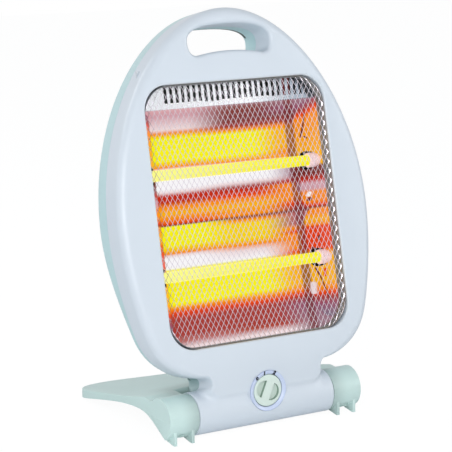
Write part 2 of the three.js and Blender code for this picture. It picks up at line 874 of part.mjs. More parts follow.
// Guard grille
function guardGrille() {
  const face = grille.setBack - shell.frontDepth;
  const back = opening.rimDepth - shell.frontDepth + gap;
  const loose = -gap;
  const inner = loose - grille.thickness;
  const cellWidth = (2 * opening.halfWidth) / grille.columns;
  const middle = (opening.top + opening.bottom) / 2;
  const rows = Math.ceil((opening.top - opening.bottom) / grille.cellHeight) + 1;
  const halfStrand = grille.strand / 2;
  const reachX = cellWidth / 2 - halfStrand;
  const reachZ = grille.cellHeight / 2 - (halfStrand * grille.cellHeight) / cellWidth;
  const diamonds = [];
  for (let row = -rows; row <= rows; row += 1) {
    for (let column = -grille.columns; column <= grille.columns; column += 1) {
      if ((row + column) % 2 !== 0) continue;
      const x = (column * cellWidth) / 2;
      const z = middle + (row * grille.cellHeight) / 2;
      if (Math.abs(z - middle) > (opening.top - opening.bottom) / 2) continue;
      const across = [point(x - reachX, z), point(x + reachX, z)];
      const corners = [across[0], point(x, z - reachZ), across[1], point(x, z + reachZ)];
      const prism = extruded(corners, 3 * grille.thickness);
      diamonds.push(prism.rotateX(Math.PI / 2).translate(0, face + 2 * grille.thickness, 0));
    }
  }
  const holes = solid(mergeGeometries(diamonds));
  const rimInside = faceOn(windowOutline(loose - grille.rimWidth), face - overrun, back + overrun);
  const sheet = cut(faceOn(windowOutline(inner), face, face + grille.thickness), holes.intersect(rimInside));
  const side = faceOn(windowOutline(loose), face, back + grille.thickness);
  const flange = faceOn(windowOutline(grille.flange), back, back + grille.thickness);
  const wall = cut(joined(side, flange), faceOn(windowOutline(inner), face - overrun, back + overrun));
  return joined(wall, sheet);
}

// Reflector
function reflectorLine() {
  const front = -reflector.frontDepth;
  const ridge = -reflector.ridgeDepth;
  const top = point(front, reflector.stripBottom);
  const seam = point(ridge, reflector.ridgeHeight);
  const bottom = point(front, reflector.troughBottom);
  const bulge = reflector.bulge;
  return [
    point(front, reflector.stripTop),
    ...curve(
      top,
      point(bulge, top.y - reflector.outerLead),
      point(bulge + reflector.ridgeDepth * 2, seam.y + reflector.ridgeLead),
      seam,
      10,
    ),
    ...curve(
      seam,
      point(bulge + reflector.ridgeDepth * 2, seam.y - reflector.ridgeLead),
      point(bulge, bottom.y + reflector.outerLead),
      bottom,
      10,
    ).slice(1),
    point(front, reflector.lipBottom),
  ];
}

// The plan of the space between the end plates, narrower by a distance on each side
function betweenPlates(distance) {
  const { rearHalfWidth, rearDepth, foldHalfWidth, foldDepth, frontHalfWidth, frontDepth } = endPlate;
  const front = reflectorFront - overrun;
  const half = [
    point(rearHalfWidth - distance, rearDepth + overrun),
    point(rearHalfWidth - distance, rearDepth),
    point(foldHalfWidth - distance, foldDepth),
    point(frontHalfWidth - distance, frontDepth),
    point(frontHalfWidth - distance, front),
  ];
  return mirrored([point(0, rearDepth + overrun), ...half, point(0, front)]);
}

function reflectorSheet() {
  const wide = endPlate.frontHalfWidth + overrun;
  const sheet = sideOn(sheetSection(reflectorLine(), reflector.sheet), -wide, wide);
  const toPlate = gap + endPlate.sheet / 2;
  const [bottom, top] = [reflector.lipBottom - overrun, reflector.stripTop + overrun];
  const room = fromAbove(betweenPlates(toPlate), bottom, top);
  const first = reflector.slotShift - ((reflector.slotCount - 1) * reflector.slotPitch) / 2;
  const slots = Array.from({ length: reflector.slotCount }, (_, i) => {
    const x = first + i * reflector.slotPitch;
    const half = reflector.slotWidth / 2;
    const heights = [reflector.slotBottom, reflector.slotTop];
    return box([x - half, x + half], [reflectorFront - overrun, 0], heights);
  });
  const holes = reflectorScrewSpots.map(({ x, z }) =>
    rod("y", screwHole, reflectorFront - overrun, reflectorBack + overrun, [x, z], smallSides),
  );
  return cut(sheet.intersect(room).intersect(bodyBlock(0, shell.wall + gap)), slots, holes);
}

function endPlateSheet(side) {
  const bottom = reflector.troughBottom - reflector.outerLead;
  const outer = fromAbove(betweenPlates(-endPlate.sheet / 2), bottom, reflector.troughTop);
  const innerTop = reflector.troughTop + overrun;
  const inner = fromAbove(betweenPlates(endPlate.sheet / 2), bottom - overrun, innerTop);
  const wide = endPlate.frontHalfWidth + overrun;
  const behindFlange = opening.rimDepth - shell.frontDepth + grille.thickness + 2 * gap;
  const keep = box(span(side, 0, wide), [behindFlange, endPlate.rearDepth], [bottom, reflector.troughTop]);
  const holes = [tube.upperHeight, tube.lowerHeight].map((z) =>
    rod("x", endPlate.holeRadius, -wide, wide, [tube.depth, z], 20),
  );
  return cut(outer, inner, holes).intersect(keep);
}

function tubeHolder(side) {
  const middle = holder.place + side * tube.shift;
  const [inner, outer] = [middle - holder.thickness / 2, middle + holder.thickness / 2];
  const depths = [tube.depth - holder.halfDepth, tube.depth + holder.halfDepth];
  const heights = [tube.lowerHeight - holder.overhang, tube.upperHeight + holder.overhang];
  const tabDepths = [tube.depth - holder.tabSize, tube.depth + holder.tabSize];
  const strip = box(span(side, inner, outer), depths, heights);
  const tabs = heights.map((z, i) => {
    const thickness = i ? [z - holder.thickness, z] : [z, z + holder.thickness];
    return box(span(side, endPlate.rearHalfWidth, outer), tabDepths, thickness);
  });
  const toPlate = -endPlate.sheet / 2 - gap;
  const plateSide = fromAbove(betweenPlates(toPlate), heights[0] - overrun, heights[1] + overrun);
  const bores = [tube.upperHeight, tube.lowerHeight].map((z) =>
    rod("x", ceramic.neckRadius + gap, -outer - overrun, outer + overrun, [tube.depth, z], 12),
  );
  return cut(joined(strip, tabs), plateSide, bores);
}

// Tubes, coils, ceramics and terminals are turned or wound about the tube's own axis, which is x
function quartzTube() {
  return ring("x", tube.radius, tube.bore, -tube.halfLength, tube.halfLength, [0, 0], 14);
}

class HelixCurve extends THREE.Curve {
  getPoint(t, target = new THREE.Vector3()) {
    const angle = 2 * Math.PI * coil.turns * t;
    const along = coil.halfLength * (2 * t - 1);
    return target.set(along, coil.radius * Math.cos(angle), coil.radius * Math.sin(angle));
  }
}

// A round section drawn along a curve, closed at both ends
function alongPath(path, steps, radius, sides) {
  const lastSide = (2 * Math.PI * (sides - 1)) / sides;
  const section = new THREE.Shape(arc(point(0, 0), radius, 0, lastSide, sides - 1));
  return solid(new THREE.ExtrudeGeometry(section, { steps, extrudePath: path, bevelEnabled: false }));
}

function heatingCoil() {
  return alongPath(new HelixCurve(), coil.turns * coil.stepsPerTurn, coil.wire, coil.sides);
}

const ceramicShoulder = holder.place - holder.thickness / 2 - gap;

function ceramicCap() {
  const socket = tube.radius + gap;
  const socketEnd = ceramic.noseStart + ceramic.socketDepth;
  const profile = [
    [socket, ceramic.noseStart],
    [ceramic.noseRadius, ceramic.noseStart],
    [ceramic.noseRadius, ceramicShoulder],
    [ceramic.neckRadius, ceramicShoulder],
    [ceramic.neckRadius, ceramic.end],
    [ceramic.leadBore, ceramic.end],
    [ceramic.leadBore, socketEnd],
    [socket, socketEnd],
    [socket, ceramic.noseStart],
  ];
  return turned("x", profile, [0, 0], 12);
}

function terminalTab() {
  const start = ceramic.end + gap;
  const end = start + terminal.ringThickness;
  const studEnd = end + terminal.ringThickness * 2;
  const halfTab = terminal.tabWidth / 2;
  const stud = rod("x", terminal.studRadius, studEnd - terminal.studLength, studEnd, [0, 0], 10);
  const washer = rod("x", terminal.ringRadius, start, end, [0, 0], smallSides);
  const tab = box([start, end], [-halfTab, halfTab], [-terminal.tabLength, terminal.tabLength]);
  return joined(stud, washer, tab);
}

// Screws lie along -y or point up, with their head's seat at the origin
function screwSolid(axis, length) {
  const { shankRadius, headRadius, headHeight } = screw;
  const profile = [
    [0, -headHeight],
    [headRadius, -headHeight / 2],
    [headRadius, 0],
    [shankRadius, 0],
    [shankRadius, length],
    [0, length],
  ];
  return turned(axis, profile, [0, 0], 8);
}

// Dial ring: a shallow dish round the knob, in the dial's frame
function dialRing() {
  const bore = knob.radius + 2 * gap;
  const back = gap - dial.ringSeat;
  const profile = [
    [bore, back],
    [dial.ringRadius, back],
    [dial.ringRadius, dial.ringProud / 2],
    [dial.ringRadius - dial.ringProud, dial.ringProud],
    [bore, knob.face],
    [bore, back],
  ];
  return turned("z", profile, [0, 0], 28);
}

const shaftTop = knob.face - knob.wall;

function knobSolid() {
  const roundStart = knob.face - knob.edgeRound;
  const floor = knob.face - knob.recessDepth - knob.wall;
  const bore = rotarySwitch.shaftRadius + gap / 2;
  const boreEnd = shaftTop + gap;
  const profile = [
    [0, knob.face],
    [knob.radius - knob.edgeRound, knob.face],
    [knob.radius, roundStart],
    [knob.radius, knob.back],
    [knob.radius - knob.wall, knob.back],
    [knob.radius - knob.wall, floor],
    [knob.hubRadius, floor],
    [knob.hubRadius, knob.back],
    [bore, knob.back],
    [bore, boreEnd],
    [0, boreEnd],
  ];
  const disc = turned("z", profile, [0, 0], 20);
  const quarter = Math.PI / 2;
  const recesses = [0, Math.PI].map((turn) => {
    const centre = point(knob.gripHalfWidth * Math.cos(turn), 0);
    const half = arc(centre, knob.recessRadius, turn - quarter, turn + quarter, 6);
    return fromAbove(half, knob.face - knob.recessDepth, knob.face + overrun);
  });
  return cut(disc, recesses);
}

const switchFront = wellBack - gap;
const switchBack = switchFront - rotarySwitch.depth;
const bushEnd = -well.depth;

function rotarySwitchSolid() {
  const { halfWidth, halfHeight, bladeLength, bladeWidth, blade } = rotarySwitch;
  const body = box([-halfWidth, halfWidth], [-halfHeight, halfHeight], [switchBack, switchFront]);
  const bush = rod("z", rotarySwitch.bushRadius, switchFront - gap, bushEnd);
  const bore = rod("z", rotarySwitch.shaftRadius + gap, switchBack + rotarySwitch.depth / 2, overrun);
  const blades = [-1, 0, 1].map((i) => {
    const x = (i * halfWidth * 2) / 3;
    const reach = [switchBack - bladeLength, switchBack + gap];
    return box([x - blade / 2, x + blade / 2], [-bladeWidth / 2, bladeWidth / 2], reach);
  });
  return cut(joined(body, bush, blades), bore);
}

function switchShaft() {
  return rod("z", rotarySwitch.shaftRadius, switchBack + rotarySwitch.depth / 2 + gap, shaftTop, [0, 0], 16);
}

// Pivots at the barrel's ends
const capInner = barrel.halfLength + foot.seam;
const washerStart = capInner + foot.wall + gap;
const nutStart = washerStart + pivot.washer + gap;

function pivotTube(side) {
  const flangeEnd = barrel.halfLength - shell.wall - gap;
  const length = ring("x", pivot.radius, pivot.bore, ...span(side, pivot.inner, pivot.outer), [0, 0], 14);
  const flangeSpan = span(side, flangeEnd - pivot.flange, flangeEnd);
  const flange = ring("x", pivot.flangeRadius, pivot.bore, ...flangeSpan, [0, 0], 14);
  return joined(length, flange);
}

function frictionWasher(side) {
  const reach = span(side, washerStart, washerStart + pivot.washer);
  return ring("x", pivot.washerRadius, pivot.radius + gap, ...reach, [0, 0], 14);
}

function pivotNut(side) {
  const reach = span(side, nutStart, nutStart + pivot.nut);
  const nut = rod("x", pivot.nutRadius, ...reach, [0, 0], pivot.nutSides);
  return cut(nut, rod("x", pivotHole, -foot.halfWidth, foot.halfWidth));
}

// Electrical pieces
function terminalBlock() {
  const body = box(
    [block.place - block.halfWidth, block.place + block.halfWidth],
    [block.back - block.depth, block.back],
    [block.height - block.halfHeight, block.height + block.halfHeight],
  );
  const ways = [-1, 0, 1].map((i) => {
    const x = block.place + (i * block.halfWidth * 2) / 3;
    const reach = block.halfHeight + overrun;
    const place = [x, block.back - block.depth / 2];
    return rod("z", wire.radius * 2, block.height - reach, block.height + reach, place, smallSides);
  });
  return cut(body, ways);
}

function tipFrame() {
  const { place: x, halfWidth, plate, plateHalfDepth, plateTop, plateDrop, back } = tipSwitch;
  const { pinDepth, pinHeight, pinRadius } = tipSwitch;
  const sides = bothSides((side) =>
    box(
      side > 0 ? [x + halfWidth, x + halfWidth + plate] : [x - halfWidth - plate, x - halfWidth],
      [pinDepth - plateHalfDepth, back],
      [pinHeight - plateTop, pinHeight + plateTop],
    ),
  );
  const across = halfWidth + plate;
  const pinReach = halfWidth + plate / 2;
  const heights = [pinHeight - plateDrop, pinHeight + plateTop];
  const rear = box([x - across, x + across], [back - plate, back], heights);
  const pin = rod("x", pinRadius, x - pinReach, x + pinReach, [pinDepth, pinHeight], 10);
  return joined(sides, rear, pin);
}

// The plumb weight hangs from the frame's pin, in a frame of its own whose origin is the pin
function tipWeightSolid() {
  const { eyeRadius, armLength, armRadius, radius, halfLength } = tipWeight;
  const bore = tipSwitch.pinRadius + gap;
  const eye = ring("x", eyeRadius, bore, -eyeRadius / 2, eyeRadius / 2, [0, 0], 12);
  const arm = rod("z", armRadius, -armLength, -(bore + eyeRadius) / 2, [0, 0], 8);
  const bob = rod("x", radius, -halfLength, halfLength, [0, -armLength], 16);
  return joined(eye, arm, bob);
}

const microSwitchTop = tipSwitch.pinHeight - tipSwitch.plateDrop - gap;

function microSwitchSolid() {
  const { place: x, back } = tipSwitch;
  const width = [x - microSwitch.halfWidth, x + microSwitch.halfWidth];
  const heights = [microSwitchTop - microSwitch.height, microSwitchTop];
  return box(width, [back - microSwitch.depth, back], heights);
}

function thermalCutout() {
  const seat = reflectorBack + gap;
  const back = seat + cutout.thickness;
  const centre = [cutout.place, cutout.height];
  const disc = rod("y", cutout.radius, seat, back, centre, 20);
  const cap = rod("y", cutout.capRadius, seat, back + cutout.cap, centre, 16);
  return joined(disc, cap);
}

function cordGland() {
  const face = shell.rearDepth;
  const profile = [
    [gland.bore, face - shell.wall - gap - gland.inside],
    [gland.radius, face - shell.wall - gap - gland.inside],
    [gland.radius, face + gap],
    [gland.collarRadius, face + gap],
    [gland.collarRadius, face + gap + gland.collar],
    [gland.radius, face + gland.outside],
    [gland.bore, face + gland.outside],
    [gland.bore, face - shell.wall - gap - gland.inside],
  ];
  return turned("y", profile, [gland.place, gland.height], 14);
}

function wireAlong(points, steps) {
  const line = new THREE.CatmullRomCurve3(points.map(([x, y, z]) => new THREE.Vector3(x, y, z)));
  return alongPath(line, steps, wire.radius, wire.sides);
}

// Foot: heights are above the floor, depths are from the tilt axis

const capCentre = point(0, axisHeight);

function rampLine() {
  const { capRadius, capLeave } = foot;
  const start = point(capRadius * Math.cos(capLeave), axisHeight + capRadius * Math.sin(capLeave));
  const ramp = point(foot.rampDepth, foot.rampHeight);
  const rear = point(foot.lobeDepth + overrun, foot.rearHeight - gap);
  return [
    ...arc(capCentre, capRadius, Math.PI, capLeave, 12),
    ...curve(
      start,
      point(start.x + foot.capLead / 2, start.y - foot.capLead / 2),
      point(ramp.x - foot.capLead, ramp.y + gap),
      ramp,
      4,
    ).slice(1),
    ...curve(
      ramp,
      point(ramp.x + foot.rampLead, ramp.y - foot.rampLeadFall),
      point(rear.x - foot.rearLead, rear.y + foot.rearLeadRise),
      rear,
      9,
    ).slice(1),
  ];
}

function footSection() {
  const split = axisHeight + gap / 2;
  const arch = point(foot.archDepth, split);
  const land = point(foot.landStart, foot.landLift);
  return [
    ...rampLine().map((p) => point(p.x, Math.max(p.y, split))).filter((p) => p.x < foot.rampDepth),
    ...rampLine().filter((p) => p.x >= foot.rampDepth),
    point(foot.lobeDepth + overrun, foot.landLift),
    ...curve(
      land,
      point(land.x - foot.landLead, land.y + foot.landLeadRise),
      point(arch.x + foot.archLead, arch.y),
      arch,
      8,
    ),
  ];
}

function footPlan(drawnIn) {
  const wide = foot.halfWidth;
  const lobe = wide - foot.lobeInset;
  const half = [
    point(0, -foot.capRadius - overrun),
    point(wide, -foot.capRadius - overrun),
    ...curve(
      point(wide, foot.cornerStart),
      point(wide, foot.cornerStart + foot.cornerLead),
      point(lobe + foot.lobeLead, foot.lobeDepth),
      point(lobe, foot.lobeDepth),
      7,
    ),
    ...curve(
      point(lobe, foot.lobeDepth),
      point(lobe - foot.lobeLead, foot.lobeDepth),
      point(foot.lobeLead, foot.rearDepth),
      point(0, foot.rearDepth),
      6,
    ).slice(1),
  ];
  return inset(mirrored(half), drawnIn);
}

function footHollow() {
  const skin = rampLine();
  const below = -overrun;
  const closed = [point(skin[0].x, below), ...skin, point(skin[skin.length - 1].x, below)];
  const wide = foot.halfWidth - foot.wall;
  const under = sideOn(inset(closed, foot.wall), -wide, wide);
  const heights = [-2 * overrun, axisHeight + foot.capRadius];
  const besideNeck = notchPlace + foot.neckRoom + foot.wall;
  const tongues = bothSides((side) =>
    box(span(side, besideNeck, capInner + foot.wall), [0, foot.solidRear], heights),
  );
  const barrelWall = barrel.radius + foot.barrelRoom + foot.wall;
  const keep = rod("x", barrelWall, -capInner - foot.wall, capInner + foot.wall, [0, axisHeight]);
  const caps = bothSides((side) =>
    box(span(side, capInner + foot.wall, wide), [-foot.capRadius, foot.solidRear], heights),
  );
  const plate = box([-wide, wide], [foot.plateFront + foot.wall, foot.solidRear], heights);
  const ribs = [-1, 0, 1].map((i) => {
    const [x, half] = [i * foot.ribSpacing, foot.ribWidth / 2];
    return box([x - half, x + half], [foot.plateFront, foot.solidRear + overrun], heights);
  });
  const cradles = bothSides((side) => {
    const reach = span(side, cradle.place, cradle.place + cradle.thickness);
    return box(reach, [-foot.capRadius, foot.capRadius], heights);
  });
  return cut(joined(caps, plate, cut(joined(tongues), keep)).intersect(under), ribs, cradles);
}

const coverScrewSpots = bothSides((side) => side * coverScrew.place).flatMap((x) => [
  { x, y: coverScrew.frontDepth, seat: coverScrew.frontSeat },
  { x, y: coverScrew.rearDepth, seat: coverScrew.rearSeat },
]);

function footBase() {
  const section = sideOn(footSection(), -foot.halfWidth, foot.halfWidth);
  const plain = section.intersect(fromAbove(footPlan(0), -overrun, axisHeight + foot.capRadius + overrun));
  const heights = [-overrun, axisHeight + foot.capRadius + overrun];
  const front = -foot.capRadius - overrun;
  const besideNeck = notchPlace + foot.neckRoom;
  const barrelRoom = [
    box([-capInner, capInner], [front, foot.tongueFront], heights),
    box([-besideNeck, besideNeck], [front, foot.plateFront], heights),
    rod("x", barrel.radius + foot.barrelRoom, -capInner, capInner, [0, axisHeight]),
  ];
  const posts = coverScrewSpots.map(({ x, y }) =>
    rod("z", postRadius, axisHeight + gap / 2, axisHeight + foot.capRadius, [x, y], smallSides),
  );
  const pilots = coverScrewSpots.map(({ x, y, seat }) =>
    rod("z", screwHole, axisHeight - overrun, seat + coverScrew.length + gap, [x, y], smallSides),
  );
  const pockets = bothSides((side) =>
    box(
      [side * pad.place - pad.halfWidth - gap, side * pad.place + pad.halfWidth + gap],
      [pad.depth - pad.halfDepth - gap, pad.depth + pad.halfDepth + gap],
      [-overrun, pad.thickness + gap],
    ),
  );
  const hollowed = cut(plain, footHollow(), barrelRoom);
  const bores = rod("x", pivotHole, -cradle.place - overrun, cradle.place + overrun, [0, axisHeight]);
  return cut(joined(hollowed, posts.map((post) => post.intersect(section))), pilots, pockets, bores);
}

function coverSection(thinned) {
  const split = axisHeight - gap / 2;
  const radius = foot.capRadius - thinned;
  const start = point(foot.archDepth - 2 * thinned, split);
  const end = arc(capCentre, foot.capRadius, capArch.frontAngle, capArch.frontAngle, 1)[0];
  const line = curve(
    start,
    point(start.x - capArch.rearLead, split),
    point(end.x + capArch.frontLead, end.y + capArch.frontLeadRise),
    end,
    8,
  );
  const front = arc(capCentre, radius, capArch.frontAngle, Math.PI, 7);
  if (!thinned) return [...line.slice(0, -1), ...front.slice(0, -1), point(-radius, split)];
  const raised = line.map((p) => point(p.x, Math.min(p.y + thinned, split + overrun)));
  const kept = raised.filter((p) => p.distanceTo(capCentre) < radius);
  const lowest = kept[kept.length - 1].y;
  const top = split + overrun;
  return [point(start.x, top), ...kept, ...front.filter((p) => p.y > lowest), point(-radius, top)];
}

function finSection() {
  const { depth, land, back, backHeight, top, bite } = fin;
  const onCap = Math.sqrt(foot.capRadius ** 2 - (axisHeight - top) ** 2);
  return [
    point(-depth, 0),
    point(land - depth, 0),
    point(-back, backHeight),
    point(-back, backHeight + bite),
    point(bite / 4 - onCap, top),
    point(-onCap, top),
  ];
}

function capCover(side) {
  const [inner, outer] = [capInner, foot.halfWidth];
  const plain = sideOn(coverSection(0), ...span(side, inner, outer));
  const hollow = sideOn(coverSection(foot.wall), ...span(side, inner + foot.wall, outer - foot.wall));
  const cradleSpan = span(side, cradle.place, cradle.place + cradle.thickness);
  const room = cut(hollow, box(cradleSpan, [-foot.capRadius, foot.capRadius], [0, axisHeight + overrun]));
  const fins = [fin.innerPlace, fin.outerPlace].map((x) =>
    sideOn(finSection(), ...span(side, x - fin.thickness / 2, x + fin.thickness / 2)),
  );
  const spots = coverScrewSpots.filter(({ x }) => Math.sign(x) === side);
  const posts = spots.map(({ x, y }) =>
    rod("z", headHole + screw.bossWall, 0, axisHeight - gap / 2, [x, y], smallSides).intersect(plain),
  );
  const holes = spots.flatMap(({ x, y, seat }) => [
    rod("z", screwHole, -overrun, axisHeight + overrun, [x, y], smallSides),
    rod("z", headHole, -overrun, seat, [x, y], smallSides),
  ]);
  const bore = rod("x", pivotHole, ...span(side, inner - overrun, cradle.place + overrun), [0, axisHeight]);
  const stackSpan = span(side, washerStart - gap, cradle.place);
  const stackRoom = rod("x", pivot.washerRadius + gap, ...stackSpan, [0, axisHeight]);
  return cut(joined(cut(plain, room), posts, fins), holes, bore, stackRoom.intersect(hollow));
}

function footPad() {
  return box([-pad.halfWidth, pad.halfWidth], [-pad.halfDepth, pad.halfDepth], [0, pad.thickness]);
}

// Wires: each runs through points given in the body's frame
const leadPlace = ceramic.end + gap + terminal.ringThickness / 2;
const [leftLead, rightLead] = [tube.shift - leadPlace, tube.shift + leadPlace];
const tabReach = terminal.tabLength + 2 * gap;
const bladeEnd = switchBack - rotarySwitch.bladeLength - wire.radius - 2 * gap;
const switchRear = dial.depth + bladeEnd * Math.cos(dial.nod);
const switchRise = dial.height - bladeEnd * Math.sin(dial.nod);
const bladePlace = (rotarySwitch.halfWidth * 2) / 3;
const microSwitchSide = tipSwitch.place + microSwitch.halfWidth + wire.radius + gap;
const cutoutBack = reflectorBack + gap + cutout.thickness + cutout.cap;
const wireRuns = {
  element_link_wire: [
    [rightLead, tube.depth, tube.upperHeight - tabReach],
    ...wirePoints.link,
    [rightLead, tube.depth, tube.lowerHeight + tabReach],
  ],
  neutral_wire: [
    [block.place + bladePlace, block.back - block.depth / 2, block.height + block.halfHeight + 2 * gap],
    ...wirePoints.neutral,
    [rightLead, tube.depth, tube.lowerHeight - tabReach],
  ],
  upper_live_wire: [
    [-bladePlace, -switchRear, switchRise],
    ...wirePoints.upperLive,
    [leftLead, tube.depth, tube.upperHeight - tabReach],
  ],
  lower_live_wire: [
    [0, -switchRear, switchRise],
    ...wirePoints.lowerLive,
    [leftLead, tube.depth, tube.lowerHeight - tabReach],
  ],
  cutout_wire: [
    [microSwitchSide, tipSwitch.back - microSwitch.depth / 2, microSwitchTop - microSwitch.height / 2],
    ...wirePoints.cutout,
    [cutout.place, cutoutBack + wire.radius + gap, cutout.height],
  ],
};

// Assembly

const sideName = (side) => (side < 0 ? "left" : "right");

place(footGroup, "foot_base", footBase(), finish.mintPlastic);
bothSides((side) => {
  place(footGroup, `${sideName(side)}_cap_cover`, capCover(side), finish.mintPlastic);
  const rubber = place(footGroup, `${sideName(side)}_foot_pad`, footPad(), finish.blackRubber);
  rubber.position.set(side * pad.place, pad.depth, 0);
});
coverScrewSpots.forEach(({ x, y, seat }) => {
  const name = `${y < 0 ? "front" : "rear"}_${sideName(Math.sign(x))}_cover_screw`;
  const piece = place(footGroup, name, screwSolid("z", coverScrew.length), finish.zincSteel);
  piece.position.set(x, y, seat - gap);
});

place(bodyGroup, "front_shell", frontShell(), finish.whitePlastic);
place(bodyGroup, "rear_shell", rearShell(), finish.mintPlastic);
place(bodyGroup, "guard_grille", guardGrille(), finish.chromeWire);
place(bodyGroup, "reflector", reflectorSheet(), finish.aluminium);
bothSides((side) => {
  place(bodyGroup, `${sideName(side)}_end_plate`, endPlateSheet(side), finish.aluminium);
  place(bodyGroup, `${sideName(side)}_tube_holder`, tubeHolder(side), finish.zincSteel);
  place(bodyGroup, `${sideName(side)}_pivot_tube`, pivotTube(side), finish.zincSteel);
  place(bodyGroup, `${sideName(side)}_friction_washer`, frictionWasher(side), finish.fibre);
  place(bodyGroup, `${sideName(side)}_pivot_nut`, pivotNut(side), finish.zincSteel);
});
[
  ["upper", tube.upperHeight],
  ["lower", tube.lowerHeight],
].forEach(([level, height]) => {
  const onTube = (name, shape, look) => {
    const piece = place(bodyGroup, name, shape, look);
    piece.position.set(tube.shift, tube.depth, height);
    return piece;
  };
  onTube(`${level}_quartz_tube`, quartzTube(), finish.quartz);
  onTube(`${level}_heating_coil`, heatingCoil(), finish.hotWire);
  bothSides((side) => {
    const name = `${level}_${sideName(side)}`;
    const turn = side < 0 ? Math.PI : 0;
    onTube(`${name}_ceramic`, ceramicCap(), finish.whiteCeramic).rotation.z = turn;
    onTube(`${name}_terminal`, terminalTab(), finish.brass).rotation.z = turn;
  });
});
shellScrewSpots.forEach(({ x, z }, i) => {
  const level = ["top", "middle", "barrel"][Math.floor(i / 2)];
  const name = `${level}_${sideName(Math.sign(x))}_shell_screw`;
  const piece = place(bodyGroup, name, screwSolid("y", shellScrew.length), finish.zincSteel);
  piece.position.set(x, shellScrew.seatDepth + gap, z);
  piece.rotation.z = Math.PI;
});
reflectorScrewSpots.forEach(({ x, z }) => {
  const name = `${z > egg.waistHeight ? "top" : "bottom"}_${sideName(Math.sign(x))}_reflector_screw`;
  const piece = place(bodyGroup, name, screwSolid("y", reflectorScrew.length), finish.zincSteel);
  piece.position.set(x, reflectorBack + gap, z);
  piece.rotation.z = Math.PI;
});

place(dialGroup, "dial_ring", dialRing(), finish.dialPlastic);
place(dialGroup, "rotary_switch", rotarySwitchSolid(), finish.palePlastic);
place(knobGroup, "knob", knobSolid(), finish.knobPlastic);
place(knobGroup, "switch_shaft", switchShaft(), finish.brass);

place(bodyGroup, "terminal_block", terminalBlock(), finish.palePlastic);
place(bodyGroup, "tip_switch_frame", tipFrame(), finish.zincSteel);
place(bodyGroup, "tip_micro_switch", microSwitchSolid(), finish.darkPlastic);
place(bodyGroup, "thermal_cutout", thermalCutout(), finish.darkPlastic);
place(bodyGroup, "cord_gland", cordGland(), finish.darkPlastic);
const sleeves = {
  element_link_wire: finish.blueSleeve,
  neutral_wire: finish.blueSleeve,
  upper_live_wire: finish.brownSleeve,
  lower_live_wire: finish.brownSleeve,
  cutout_wire: finish.brownSleeve,
};
Object.entries(wireRuns).forEach(([name, points]) => {
  place(bodyGroup, name, wireAlong(points, wire.stepsPerPoint * points.length), sleeves[name]);
});
place(tipGroup, "tip_weight", tipWeightSolid(), finish.brass);

// The origin goes to the middle of the footprint
heater.updateMatrixWorld(true);
const extent = new THREE.Box3().setFromObject(heater, true);
footGroup.position.y = -(extent.min.y + extent.max.y) / 2;
bodyGroup.position.y = footGroup.position.y;
heater.updateMatrixWorld(true);

export default heater;
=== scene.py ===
"""Quartz heater: smooth moulded shells, fine diamond guard, glowing tubes and a wide foot."""

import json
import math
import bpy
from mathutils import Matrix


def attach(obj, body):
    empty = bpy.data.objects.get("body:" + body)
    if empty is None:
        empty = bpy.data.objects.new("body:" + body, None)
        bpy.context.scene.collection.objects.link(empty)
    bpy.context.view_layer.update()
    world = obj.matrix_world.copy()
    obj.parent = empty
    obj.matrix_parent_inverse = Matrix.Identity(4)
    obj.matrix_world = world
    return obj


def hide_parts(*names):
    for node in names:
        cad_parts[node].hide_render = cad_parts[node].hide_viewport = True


bl_info = {
    "name": "Quartz Heater",
    "version": (1, 0, 0),
    "blender": (4, 5, 0),
    "location": "3D View > Sidebar > Heater",
    "description": "Builds the pieces, finishes and studio of a two-tube quartz heater",
    "category": "Object",
}

import bmesh
import bpy
from bpy.props import FloatProperty, FloatVectorProperty, IntProperty, PointerProperty
from mathutils import Matrix, Vector

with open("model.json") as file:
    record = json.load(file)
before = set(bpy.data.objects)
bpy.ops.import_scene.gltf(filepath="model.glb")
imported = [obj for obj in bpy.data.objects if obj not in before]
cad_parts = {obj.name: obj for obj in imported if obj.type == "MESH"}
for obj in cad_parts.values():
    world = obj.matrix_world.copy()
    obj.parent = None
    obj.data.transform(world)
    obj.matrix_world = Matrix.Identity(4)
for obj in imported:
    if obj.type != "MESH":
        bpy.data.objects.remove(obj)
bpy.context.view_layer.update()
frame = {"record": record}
joint_places = {joint["name"]: Vector(joint["pos_m"]) for joint in frame["record"]["behaviour"]["joints"]}

# A millimetre, two angles, how far cutters run past a face, the play between fitted pieces, and the
# angle from which an edge is shaded sharp
MM = 0.001
HALF_TURN = math.pi
QUARTER = math.pi / 2
OVERRUN = 4 * MM
PLAY = 0.3 * MM
SMOOTH_ANGLE = math.radians(34)


def length(label, description, value):
    return FloatProperty(name=label, description=description, default=value, unit="LENGTH", precision=5)


def angle(label, description, degrees):
    return FloatProperty(name=label, description=description, default=math.radians(degrees), subtype="ANGLE")


def linear(code):
    """Turn an sRGB hex value into the linear colour that shaders use."""
    channels = [int(code[i:i + 2], 16) / 255 for i in (0, 2, 4)]
    return tuple(c / 12.92 if c <= 0.04045 else ((c + 0.055) / 1.055) ** 2.4 for c in channels) + (1.0,)


def colour(label, description, code):
    return FloatVectorProperty(
        name=label, description=description, default=linear(code), size=4, min=0.0, max=1.0, subtype="COLOR"
    )


